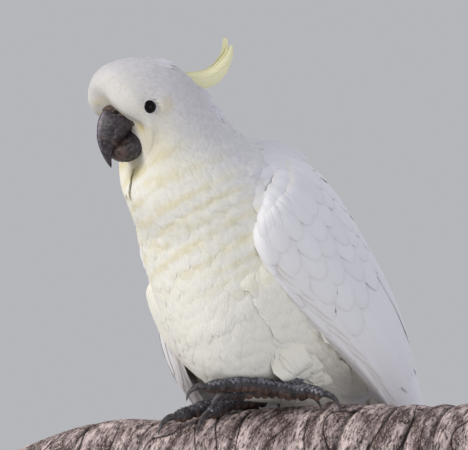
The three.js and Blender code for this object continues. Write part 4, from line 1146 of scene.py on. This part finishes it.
wing_finish = plumage_finish("firm_feathers", tint(238, 236, 236), 0.12, 26.0)
for name, pose in WING_POSES.items():
    shell = wing_shell(pose)
    seed = 30 if name == "left" else 60
    random = np.random.default_rng(seed)
    count = 12
    places = np.linspace(0.07, 0.91, count)
    arched = np.sin(np.pi * places)         # the middle ones are the longest
    secondaries = wing_row(
        shell, 0.30 + 0.02 * random.uniform(-1, 1, count), places,
        118 + 14 * arched + 4 * random.uniform(-1, 1, count), 15.5, -0.8,
        tilt=-shell.side * 0.2, camber=0.6, steps=FLIGHT_STEPS, point=2.4, seed=seed + 1, tone=0.02)
    # painted shade line down one edge of each secondary
    secondaries = edged(secondaries, 0.3, PALE_SHADE_RIM, -shell.side)
    count = 9
    places = np.linspace(0.25, 0.93, count)
    primaries = wing_row(
        shell, 0.55, places, np.linspace(148, 92, count), 11.0, -1.6, camber=0.5, tone=0.02,
        steps=FLIGHT_STEPS, point=1.7, seed=seed + 2)
    # tertials: the first two, one behind the other, close the wing along the back
    tertials = wing_row(
        shell, [0.16, 0.38, 0.21, 0.23, 0.25, 0.27], [-0.05, -0.05, 0.04, 0.15, 0.27, 0.40],
        [120, 120, 118, 122, 124, 126], [17.0, 17.0, 15.0, 15.0, 15.0, 15.0],
        [-0.8, -1.4, 0.1, 0.1, 0.1, 0.1], camber=1.2, steps=FLIGHT_STEPS, seed=seed + 3, tone=0.02)
    # painted shade line down one edge of each tertial
    tertials = edged(tertials, 0.3, PALE_SHADE_RIM, -shell.side)
    # long narrow vanes, three deep, stack up along the front edge
    count = 27
    stack = np.arange(count) % 3
    edge = wing_row(
        shell, np.linspace(0.06, 0.50, count), 0.945 + 0.015 * (stack - 1), np.linspace(48, 120, count),
        np.linspace(5.0, 4.2, count), np.linspace(1.2, -1.4, count) - 0.4 * stack, camber=0.9,
        steps=FLIGHT_STEPS, point=1.7, root=0.8, seed=seed + 5)
    # and four deep they line the edge below
    count = 26
    stack = np.arange(count) % 4
    under = wing_row(
        shell, np.linspace(0.05, 0.52, count), 0.99 + 0.017 * stack, np.linspace(40, 104, count), 4.0,
        np.linspace(0.8, -0.8, count) - 0.3 * stack, camber=0.4, steps=FLIGHT_STEPS, point=1.8,
        seed=seed + 9)
    # small coverts lie in three rows at the bend's margin
    margin_along, margin_around = (grid.ravel() for grid in np.meshgrid((0.034, 0.054, 0.078),
                                                                        np.linspace(0.68, 0.94, 6)))
    margin_around = margin_around + 0.026 * (np.arange(len(margin_along)) // 6 % 2)
    margin = wing_row(
        shell, margin_along, margin_around, 16 + 90 * margin_along, 5.4, 1.2 - 8 * margin_along, camber=0.6,
        sink=3.4, droop=0.8, fray=0.08, tone=0.02, root=0.85, seed=seed + 11)
    # the margin's coverts get the same painted shade line round tip and edges
    coat_piece(f"wing_flights_{name}", [
        primaries, secondaries, tertials, edged(margin, 0.22, COVERT_SHADE_RIM),
        edged(edge, 0.5, side=-shell.side), edged(under, 0.3)], wing_finish)
    coat_piece(f"wing_coverts_{name}", covert_rows(wing_face(shell, pose), pose, seed + 6), wing_finish)

# ---------------------------------------------------------------------------
# Tail. Twelve broad flat feathers close like a fan under the wing tips, the
# middle pair on top, with coverts over their roots above and below.
# ---------------------------------------------------------------------------

RECTRIX_COUNT = 12
places = np.linspace(-1, 1, RECTRIX_COUNT)
rectrices = lay_vanes(
    tail_shell, np.full(RECTRIX_COUNT, 0.05), 0.25 + 0.19 * places, 154 - 7 * places**2, 12.5, 2.0, 0.3,
    camber=0.5, thick=0.35, tilt=0.5 * np.sign(places), fray=0.03, point=2.6, steps=FLIGHT_STEPS,
    ring=FLIGHT_RING, seed=91, base=-0.4 - 1.6 * np.abs(places), droop=0.3)
coat_piece("tail_feathers", [rectrices], wing_finish, "plumage", ("tail",))
groups = []
for low, high, length, seed in ((0.02, 0.48, 52, 92), (0.52, 0.98, 58, 93)):
    along, around = in_rows(tail_shell, (0.02, 0.26), lambda place: 9, lambda place: 8, (low, high), seed)
    groups.append(lay_vanes(
        tail_shell, along, around, length * np.random.default_rng(seed).uniform(0.85, 1.1, len(along)),
        8.0, 3.0, 0.6, heading=0.08 * np.random.default_rng(seed).normal(size=len(along)),
        camber=0.4, thick=0.2, fray=0.12, point=1.8, steps=COVERT_STEPS, seed=seed, base=0.6))
coat_piece("tail_coverts", groups, soft_finish)

# ---------------------------------------------------------------------------
# Crest. Narrow yellow plumes lie back along the crown and sweep up to stepped
# tips, each a stiff blade on its edge. Longer white feathers cover their roots.
# ---------------------------------------------------------------------------

CREST_LINE = np.array([(88, 252), (73, 251), (58, 251), (48, 255), (40.5, 261.5), (35.5, 269.5),
                       (34, 281.5)], float)
PLUME_COUNT, PLUME_HALF = 8, 4.4
PLUME_FIRST, PLUME_SPREAD = -4.6, 10.2          # millimetres across the line, first plume and to the last
PLUME_GAP, PLUME_LEAN = 2.2, 0.6                # sideways between three files, and its growth to the tips


def plume_shell(offset, side, lean):
    """A ribbon on edge along the crest's line: around 0.01 is a millimetre across it, sideways by lean."""
    def shell(along, around):
        along, around = np.broadcast_arrays(np.asarray(along, float), around)
        line = run_through(CREST_LINE, along)
        slope = unit(run_through(CREST_LINE, along + 1e-3) - run_through(CREST_LINE, along - 1e-3))
        across = offset * (0.35 + 0.65 * along) + (around - 0.5) * 100
        return in_row(line[..., 0] - slope[..., 1] * across, side * (0.6 + lean * along),
                      line[..., 1] + slope[..., 0] * across, 1.0)
    return facing_side(shell, 1 if side >= 0 else -1)


def crest_markings(points):
    """Linear colour of the crest: pale sulphur yellow, whiter at the front edge of its root."""
    root = in_row(84.0, 0.0, 251.0, 1.0)
    white = 0.75 * (1 - smooth(np.linalg.norm(points - root, axis=-1), 0.004, 0.018))[..., None]
    yellow, pale = np.array(tint(254, 253, 222)), np.array(tint(254, 253, 240))
    return yellow + (pale - yellow) * white


plumes = []
fan = np.linspace(0, 1, PLUME_COUNT)
for index, share in enumerate(fan):
    side = (index % 3 - 1) * PLUME_GAP + 0.3
    shell = plume_shell(PLUME_FIRST + PLUME_SPREAD * share, side, PLUME_LEAN)
    _, _, slope, _ = shell_frame(shell, np.array([0.45]), np.array([0.5]))
    # millimetres, from the line's own length in metres; later plumes are up to a fifth shorter
    plume_length = 1020 * np.linalg.norm(slope) * (1 - 0.2 * share) * (1 - 0.03 * (index % 2))
    plume = lay_vanes(
        shell, np.array([0.01]), np.array([0.5]), plume_length, PLUME_HALF, 0.0, 0.0,
        camber=0.8, thick=0.55, fray=0.05, point=2.0, steps=tuple(np.linspace(0.02, 0.99, 34)),
        ring=FLIGHT_RING, seed=110 + index, tone=0.02, droop=0.0)
    plume["values"]["markings"] = crest_markings(plume["points"])
    plume["maps"]["OFBake"] = np.clip(
        plume["maps"]["vane"] * 0.003 + np.array([0.1 + 0.1 * index, 0.5]), 0, 1)
    plumes.append(plume)
crest_finish = plumage_finish("crest_feathers", tint(251, 247, 205), 0.1, 40.0)
coat_piece("crest_plumes", plumes, crest_finish, "crest", ("crest",))

random = np.random.default_rng(140)
cover_around, cover_along = (grid.ravel() for grid in np.meshgrid(np.linspace(-0.085, 0.085, 9),
                                                                 (0.250, 0.268)))
count = len(cover_along)
cover_around = cover_around + 0.006 * random.uniform(-1, 1, count)
long_share = np.exp(-(cover_around / 0.07)**2)
covers = lay_vanes(
    body_shell, cover_along + 0.005 * random.uniform(-1, 1, count), cover_around,
    14 + 14 * long_share, 3.2, 3.6, 0.4 + 2.8 * long_share * (cover_along > 0.259), camber=0.7, thick=0.16,
    fray=0.06, point=1.4, steps=COVERT_STEPS, ring=FLIGHT_RING, seed=141, droop=0.1, tone=0.02,
    base=0.15, heading=-1.6 * cover_around, root=0.8)
coat_piece("crest_covers", [covers], white_finish)

# ---------------------------------------------------------------------------
# Feet. Two toes point forwards and two back. Dark skin in small raised scales
# covers shanks and toes, with soft round pads below. The right foot grips the
# branch, the left is set down over it.
# ---------------------------------------------------------------------------

PERCH_TOP, BRANCH_RADIUS, BRANCH_REACH = 190.0, 47.0, 181.0
BRANCH_RISE = np.array([[-36, -22, -11, -5.5, -6, -3, 1, 4, 4.5, 5.5, 5, 5.5]], float).T
TOE_RADIUS, SHANK_RADIUS, PAD_SWELL, TOUCH = 5.4, 6.2, 0.9, 0.8
# heading in degrees, length, pads, then drop and arch of a raised toe
TOES = {
    "right": ((4, 3), None, ((232, 38, 3, 0, 0), (211, 58, 4, 0, 0), (70, 46, 4, 0, 0), (30, 25, 2, 0, 0))),
    "left": ((44, -25), 11, ((187, 48, 3, -3, 2), (200, 71, 4, 3, 4), (352, 24, 3, -3, 2),
                             (8, 13, 2, -4, 1)))}


def branch_middle(x):
    """Height of the branch's middle at a place along it."""
    share = (x + BRANCH_REACH) / BRANCH_REACH / 2
    return PERCH_TOP - BRANCH_RADIUS + run_through(BRANCH_RISE, share)[..., 0]


def on_branch(x, y, radius):
    """Height of the middle of a round thing that lies on the branch."""
    reach = BRANCH_RADIUS + radius + TOUCH
    return branch_middle(x) + np.sqrt(np.maximum(reach**2 - y**2, 0))


def toe_line(foot, toe):
    """Points in millimetres down the middle of a toe, from behind the foot's root to the claw's root."""
    root, lift, _ = TOES[foot]
    heading, length, _, drop, arch = toe
    away = np.linspace(-TOE_OVERLAP, length, 7)
    x = root[0] + np.cos(np.radians(heading)) * away
    y = root[1] + np.sin(np.radians(heading)) * away
    share = away / length
    if lift is None:
        height = on_branch(x, y, TOE_RADIUS + PAD_SWELL)
    else:
        height = (on_branch(root[0] + 0 * x, root[1] + 0 * x, TOE_RADIUS) + lift + drop * share
                  + arch * np.sin(np.pi * share))
    return np.stack([x, y, height], -1)


LIMB_CAP = 0.1                  # share of a limb's length that each round end takes


def limb_shell(line, radii, form=None):
    """A round limb through points in millimetres with radii along it, and a form on its surface."""
    line, radii = np.asarray(line, float), np.asarray(radii, float)[:, None]
    aside = unit(np.cross(line[-1] - line[0], (0, 0, 1.0)))

    def shell(along, around):
        along, around = np.broadcast_arrays(np.asarray(along, float), around)
        middle = run_through(line, along)
        onward = unit(run_through(line, np.minimum(along + 1e-3, 1.0))
                      - run_through(line, np.maximum(along - 1e-3, 0.0)))
        lift = unit(np.cross(aside, onward))
        turn = 2 * np.pi * around
        size = run_through(radii, along)[..., 0] + (0.0 if form is None else form(along, turn))
        size = (size * end_rounding(along, LIMB_CAP) * end_rounding(1 - along, LIMB_CAP))[..., None]
        point = middle + size * (aside * np.cos(turn)[..., None] + lift * np.sin(turn)[..., None])
        return point / 1000 + BASE_CENTRE
    return facing(shell)


BEAD_LENGTH, FOLD_GAP = 6.0, 2.6         # millimetres along the toe


def pad_form(pads, length):
    """Swellings at the joints, round beads side by side below, and fine cross folds on top."""
    def form(along, turn):
        below = smooth(-np.sin(turn), -0.1, 0.8)
        beat = np.abs(np.sin(np.pi * pads * along))
        bead = np.sqrt(np.abs(np.sin(np.pi * along * length / BEAD_LENGTH)))
        pad = 2.2 * bead - 1.5
        fold = 0.16 * np.cos(2 * np.pi * along * length / FOLD_GAP) * smooth(np.sin(turn), 0.0, 0.8)
        return PAD_SWELL * beat - PAD_SWELL / 2 + below * pad + fold
    return form


foot_finish, wire, shader = finish_of("foot_skin")
spot = wire.node("ShaderNodeTexCoord", out="Object")
scales, borders = (wire.node("ShaderNodeTexVoronoi", {"feature": feature}, {"Vector": spot, "Scale": 620.0})
                   for feature in ("F1", "DISTANCE_TO_EDGE"))
cloud = noise_of(wire, spot, 120.0, 4.0)
grey = cloud.between(0.35, 0.65).mix(tint(42, 40, 44), tint(82, 79, 84))
brown = cloud.between(0.4, 0.6).mix(tint(58, 43, 37), tint(124, 96, 82))
crack = borders.between(0.0, 0.12)
feed(shader, "Base Color", crack.mix(tint(30, 27, 28), value_of(wire, "pad").mix(grey, brown)))
feed(shader, "Roughness", 0.5 + cloud * 0.25)
emboss(shader, wire, 0.6, 0.0006, crack * (1.0 - scales * 0.5))
scute_finish, wire, shader = finish_of("foot_scutes")
spot = wire.node("ShaderNodeTexCoord", out="Object")
cloud = noise_of(wire, spot, 240.0, 4.0)
feed(shader, "Base Color", cloud.between(0.35, 0.65).mix(tint(52, 51, 57), tint(132, 131, 141)))
feed(shader, "Roughness", 0.42 + cloud * 0.25)

SCUTE_RING = np.array([(-1, 0.0), (-0.55, 0.8), (0, 1.0), (0.55, 0.8), (1, 0.0), (0, -0.6)])
TOE_STEPS, FOOT_TURNS = np.linspace(0.004, 0.996, 70), np.arange(40) / 40
TOE_OVERLAP = 6.0               # millimetres by which toes and shank run into the foot's root
for foot, (_, _, toes) in TOES.items():
    shells, pads, scutes = [], [], []
    start = toe_line(foot, toes[0])
    middle = start[0] + (start[1] - start[0]) * TOE_OVERLAP / np.linalg.norm((start[1] - start[0])[:2])
    ankle, hip = ((in_row(*point) - BASE_CENTRE) * 1000 for point in LEG_POINTS[foot])
    limbs = [limb_shell([middle, middle + (ankle - middle) * 0.6, ankle, ankle + (hip - ankle) * 0.2],
                        [SHANK_RADIUS, SHANK_RADIUS, SHANK_RADIUS + 0.6, SHANK_RADIUS])]
    for toe in toes:
        limbs.append(limb_shell(
            toe_line(foot, toe), [TOE_RADIUS + 0.8, TOE_RADIUS, TOE_RADIUS - 0.4, TOE_RADIUS - 1.2],
            pad_form(toe[2], toe[1] + TOE_OVERLAP)))
    for number, shell in enumerate(limbs):
        rings = shell(TOE_STEPS[:, None], FOOT_TURNS[None, :])
        shells.append(closed_shell(rings))
        below = smooth(-np.sin(2 * np.pi * FOOT_TURNS), 0.1, 0.8)[None, :] + 0 * TOE_STEPS[:, None]
        pads.append(np.concatenate([[0.0], (below * (number > 0)).ravel(), [0.3]]))
        along, around = in_rows(shell, (0.05, 0.93), lambda place: 2.1, lambda place: 2.9,
                                (0.03, 0.47) if number else (0.0, 1.0), 200 + number, 0.25)
        scutes.append(lay_vanes(
            shell, along, around, 3.0, 1.5, 0.6, 0.7, camber=0.25, thick=0.25, fray=0.06,
            steps=(0.12, 0.4, 0.68, 0.88), point=2.0, ring=SCUTE_RING, seed=210 + number, base=0.1,
            droop=0.3))
    points, faces = joined(shells)
    add_piece(f"foot_hide_{foot}", points, faces, foot_finish, "foot", (f"foot_{foot}",),
              values={"pad": np.concatenate(pads)})
    coat_piece(f"foot_scutes_{foot}", scutes, scute_finish, "foot")

# ---------------------------------------------------------------------------
# Claws. Eight hooked sheaths of dark horn grow out of the toes' tips, finely
# ridged along their length and flattened below.
# ---------------------------------------------------------------------------

# forward and up from the toe's tip, in millimetres, down the middle of a claw
CLAW_LINE = np.array([(-3, 0.4), (3, 1.8), (8.5, 0.6), (12.5, -3.2), (14, -8)])
CLAW_RADII, SMALL_CLAW = np.array([2.6, 2.7, 2.1, 1.3, 0.5]), 0.75
CLAW_STEPS = np.linspace(0.004, 0.996, 48)


def claw_form(along, turn):
    """Fine ridges along the claw that fade towards its point, and a flattened underside."""
    return 0.12 * np.cos(14 * turn) * (1 - along) - 0.35 * smooth(-np.sin(turn), 0.2, 1.0)


claw_shells = []
for foot, (_, _, toes) in TOES.items():
    for toe in toes:
        line = toe_line(foot, toe)
        way = unit(line[-1] - line[-2])
        size = SMALL_CLAW if toe[2] == 2 else 1.0
        claw = line[-1] + size * (CLAW_LINE[:, :1] * way + CLAW_LINE[:, 1:] * np.array([0, 0, 1.0]))
        shell = limb_shell(claw, CLAW_RADII * size, claw_form)
        claw_shells.append(closed_shell(shell(CLAW_STEPS[:, None], FOOT_TURNS[None, :])))
claw_finish, wire, shader = finish_of("claw_horn")
spot = wire.node("ShaderNodeTexCoord", out="Object")
cloud = noise_of(wire, spot, 330.0, 5.0)
feed(shader, "Base Color", cloud.between(0.38, 0.66).mix(tint(38, 35, 38), tint(92, 86, 88)))
feed(shader, "Roughness", 0.3 + cloud * 0.3)
emboss(shader, wire, 0.4, 0.0004, cloud)
add_piece("claws", *joined(claw_shells), claw_finish, "claw",
          tuple(f"claw_{foot}_{toe}" for foot in TOES
                for toe in ("inner", "outer", "hind_outer", "hind_inner")))

# ---------------------------------------------------------------------------
# Perch. A cut length of old branch with its bark on: grey-brown, wrinkled in
# fine slanting rings, with deeper folds and a few knots. Both ends are sawn.
# ---------------------------------------------------------------------------

# place along, place round in turns from the top, reach along and round, and height of knots
BARK_FORMS = ((74, 0.0, 6, 0.04, 3.5), (-60, -0.12, 16, 0.06, 1.6), (66, -0.13, 7, 0.025, -2.2),
              (-130, -0.1, 20, 0.08, 1.8))
RING_SLANT = 24.0               # how far a ring of the bark runs back down the branch's front
RING_MIDDLE, GROWTH_RING = 0.146, 0.0026        # metres: height of the pith, width of a year's growth
# place, reach and height of the folds that run round the branch
RING_FOLDS = ((-104, 2.0, -1.6), (-52, 1.8, -1.3), (18, 2.2, -1.4), (88, 9, 1.6), (100, 2.6, -2.4),
              (112, 6, 1.2), (124, 2.0, -1.8), (138, 7, 1.6), (150, 2.4, -2.4), (160, 5, 1.4),
              (169, 2.0, -2.0), (177, 4, 1.0))
GRAIN_WAVES = ((38, 0, 0, 0.0, 1.0), (83, 21, 35, 1.7, 0.7), (-57, 63, 28, 4.0, 0.7),
               (140, -48, 77, 2.4, 0.4))
SWELL_WAVES = ((22, 30, 0, 0.4, 0.6), (-31, 14, 44, 2.0, 0.5), (64, 60, -20, 5.0, 0.3))
branch_steps = np.linspace(-BRANCH_REACH, BRANCH_REACH, 460)
branch_turns = np.arange(300) / 300


def lie_of(x, turn):
    """Place along the branch of the slanting ring that a point lies on."""
    return x - RING_SLANT * np.sin(2 * np.pi * turn)


def bark_ripples(x, turn, waves):
    """Sum of sine waves over a straight branch of the same radius."""
    around = 2 * np.pi * turn
    radius = BRANCH_RADIUS / 1000
    return ripples(np.stack([x / 1000, radius * np.cos(around), radius * np.sin(around)], -1), waves)


def crack_pattern(x, turn):
    """Bark: folded sine ridges run round the branch, slanting, and wander; 1 on a plate, 0 in a crack."""
    around = 2 * np.pi * turn
    wander = bark_ripples(x, turn, GRAIN_WAVES)
    lie = lie_of(x, turn)
    coarse = np.abs(np.sin(0.16 * lie + 1.1 * wander))
    fine = np.abs(np.sin(0.43 * lie + 1.7 * wander + 1.0))
    cross = np.abs(np.sin(13 * around + 1.9 * wander + 0.05 * lie))
    return (smooth(coarse, 0.0, 0.22) * (0.45 + 0.55 * smooth(fine, 0.0, 0.45))
            * (0.75 + 0.25 * smooth(cross, 0.0, 0.25)))


grid_x, grid_turn = np.meshgrid(branch_steps, branch_turns, indexing="ij")
plates = crack_pattern(grid_x, grid_turn)
swell = 1.1 * (plates - 1.0) + 0.9 * bark_ripples(grid_x, grid_turn, SWELL_WAVES)
grid_lie = lie_of(grid_x, grid_turn)
for place, reach, height in RING_FOLDS:
    swell += height * np.exp(-((grid_lie - place) / reach)**2)
    # painted shade: the grooves of the folds are painted darker
    plates *= 1 - 0.75 * (height < 0) * np.exp(-((grid_lie - place) / reach)**2)
for place, turn, reach, spread, height in BARK_FORMS:
    away = (grid_turn - turn + 0.5) % 1.0 - 0.5
    swell += height * np.exp(-((grid_x - place) / reach)**2 - (away / spread)**2)
ends = smooth(BRANCH_REACH - np.abs(grid_x), 0.0, 1.5)
radius = BRANCH_RADIUS - 1.2 + swell - 1.2 * (1 - ends)
# the bark stays low where the feet stand
under_foot = np.exp(-(grid_x / 55)**2) * np.exp(-(((grid_turn + 0.5) % 1 - 0.5) / 0.14)**2)
radius = np.minimum(radius, BRANCH_RADIUS + 0.4 + 6 * (1 - under_foot))
branch_rings = np.stack([
    grid_x, radius * np.sin(2 * np.pi * grid_turn),
    branch_middle(grid_x) + radius * np.cos(2 * np.pi * grid_turn)], -1)
sawn = [np.stack([grid_x[row], radius[row] * share * np.sin(2 * np.pi * branch_turns),
                  branch_middle(grid_x[row]) + radius[row] * share * np.cos(2 * np.pi * branch_turns)], -1)
        for row in (0, -1) for share in (0.96, 0.5)]
branch_rings = np.concatenate([[sawn[1], sawn[0]], branch_rings, [sawn[2], sawn[3]]])
# each end's values: a pole and two rings
end_points = 1 + 2 * len(branch_turns)
relief = np.concatenate([np.full(end_points, 0.5), plates.ravel(), np.full(end_points, 0.5)])
cut_share = 1 - smooth(BRANCH_REACH - np.abs(grid_x), 0, 0.4)
cut = np.concatenate([np.ones(end_points), cut_share.ravel(), np.ones(end_points)])
lie_points = np.concatenate([branch_rings[:1].mean(1), branch_rings.reshape(-1, 3),
                             branch_rings[-1:].mean(1)])
lie_values = np.concatenate([
    (lie_points[:, :1] - RING_SLANT * lie_points[:, 1:2] / BRANCH_RADIUS) / 1000, lie_points[:, 1:] / 1000,
    np.ones((len(lie_points), 1))], -1)

bark_finish, wire, shader = finish_of("bark")
spot = wire.node("ShaderNodeTexCoord", out="Object")
stretched = wire.node("ShaderNodeMapping", {}, {"Vector": value_of(wire, "lie", "Color"),
                                                "Scale": (3.2, 1.0, 1.0)})
patches = noise_of(wire, stretched, 26.0, 6.0, Roughness=0.65)
streaks = noise_of(wire, stretched, 150.0, 8.0, Roughness=0.72)
flecks = noise_of(wire, stretched, 420.0, 3.0)
wood = patches.between(0.42, 0.58).mix(tint(106, 88, 88), tint(238, 216, 214))
wood = streaks.between(0.41, 0.53).mix(tint(66, 52, 53), wood)
wood = (flecks.between(0.58, 0.64) * 0.8).mix(wood, tint(226, 212, 194))
# painted shade: the wood is painted near black in the bark's cracks and the folds' grooves
wood = value_of(wire, "relief").between(0.1, 0.7).mix(tint(42, 33, 32), wood)
# sawn ends: growth rings round the branch's middle
_, depth, height = parts_of(wire, spot)
depth, height = depth - float(BASE_CENTRE[1]), height - RING_MIDDLE
from_pith = (depth * depth + height * height) ** 0.5
growth = ((from_pith + (streaks - 0.5) * 0.002) * (2 * np.pi / GROWTH_RING)).maths("SINE")
end_wood = (growth * 0.5 + 0.5).mix(tint(158, 138, 118), tint(204, 190, 168))
feed(shader, "Base Color", value_of(wire, "cut").mix(wood, end_wood))
feed(shader, "Roughness", 0.8 + streaks * 0.15)
emboss(shader, wire, 0.9, 0.002, streaks * 0.7 + flecks * 0.3)
points, faces = closed_shell(branch_rings)
add_piece("branch_bark", points / 1000 + BASE_CENTRE, faces, bark_finish, "bark", ("perch_branch",),
          values={"relief": relief, "cut": cut, "lie": lie_values})

# ---------------------------------------------------------------------------
# Stand. A flat lacquered wooden base with rounded corners carries two steel
# rods, each with a turned foot, that run up into the branch.
# ---------------------------------------------------------------------------

BASE_SIZE, BASE_THICKNESS, BASE_CORNER, BASE_EDGE = (300.0, 230.0), 14.0, 24.0, 2.0
ROD_RADIUS, ROD_SPACING, ROD_FOOT_RADIUS = 6.0, 150.0, 15.0
corner_turns = np.linspace(0, np.pi / 2, 17)
outline = np.concatenate([
    np.stack([side_x * (BASE_SIZE[0] / 2 - BASE_CORNER) + 0 * corner_turns,
              side_y * (BASE_SIZE[1] / 2 - BASE_CORNER) + 0 * corner_turns,
              np.cos(corner_turns + quarter), np.sin(corner_turns + quarter)], -1)
    for side_x, side_y, quarter in ((1, 1, 0), (-1, 1, np.pi / 2), (-1, -1, np.pi), (1, -1, 1.5 * np.pi))])
edge = np.linspace(0, np.pi / 2, 7)
base_profile = np.concatenate([
    [(BASE_CORNER - 8, 0), (BASE_CORNER - 0.6, 0), (BASE_CORNER, 0.6)],
    np.stack([BASE_CORNER - BASE_EDGE + BASE_EDGE * np.cos(edge),
              BASE_THICKNESS - BASE_EDGE + BASE_EDGE * np.sin(edge)], -1),
    [(BASE_CORNER - 3.2, BASE_THICKNESS), (BASE_CORNER - 10, BASE_THICKNESS)]])
base_rings = np.stack([
    np.concatenate([outline[:, :2] + outline[:, 2:] * reach, np.full((len(outline), 1), height)], -1)
    for reach, height in base_profile])
base_finish, wire, shader = finish_of("black_lacquer", Coat_Weight=0.3, Coat_Roughness=0.25)
spot = wire.node("ShaderNodeTexCoord", out="Object")
stretched = wire.node("ShaderNodeMapping", {}, {"Vector": spot, "Scale": (0.12, 1.0, 1.0)})
wood_grain = noise_of(wire, stretched, 160.0, 6.0)
feed(shader, "Base Color", wood_grain.between(0.3, 0.7).mix(tint(40, 38, 38), tint(58, 55, 54)))
feed(shader, "Roughness", 0.42 + wood_grain * 0.16)
emboss(shader, wire, 0.25, 0.0005, wood_grain)
points, faces = closed_shell(base_rings)
add_piece("stand_base_board", points / 1000 + BASE_CENTRE, faces, base_finish, "stand_base",
          ("stand_base",))

rod_finish, wire, shader = finish_of("brushed_steel", Metallic=1.0)
spot = wire.node("ShaderNodeTexCoord", out="Object")
brushed = wire.node("ShaderNodeMapping", {}, {"Vector": spot, "Scale": (1.0, 1.0, 12.0)})
brush = noise_of(wire, brushed, 180.0, 3.0)
feed(shader, "Base Color", brush.between(0.3, 0.7).mix(tint(172, 174, 176), tint(198, 200, 202)))
feed(shader, "Roughness", 0.24 + brush * 0.16)
rod_turns = np.arange(48) / 48 * 2 * np.pi
for name, side in (("left", -1), ("right", 1)):
    x = side * ROD_SPACING / 2
    low, high = BASE_THICKNESS + 0.4, branch_middle(np.array(x)) - BRANCH_RADIUS * 0.62
    # reach and height: the foot's rim, its hollow neck and the plain rod
    curve = np.linspace(0, np.pi / 2, 9)
    profile = np.concatenate([
        [(ROD_FOOT_RADIUS - 0.5, low), (ROD_FOOT_RADIUS, low + 0.5), (ROD_FOOT_RADIUS, low + 3.4),
         (ROD_FOOT_RADIUS - 0.6, low + 4)],
        np.stack([ROD_RADIUS + 5.5 * (1 - np.sin(curve)), low + 9.5 - 5.3 * np.cos(curve)], -1),
        [(ROD_RADIUS, low + 30), (ROD_RADIUS, (low + high) / 2), (ROD_RADIUS, high)]])
    rings = np.stack([np.stack([x + reach * np.cos(rod_turns), reach * np.sin(rod_turns),
                                height + 0 * rod_turns], -1) for reach, height in profile])
    points, faces = closed_shell(rings)
    add_piece(f"stand_rod_turned_{name}", points / 1000 + BASE_CENTRE, faces, rod_finish, "stand_rod",
              (f"stand_rod_{name}",))
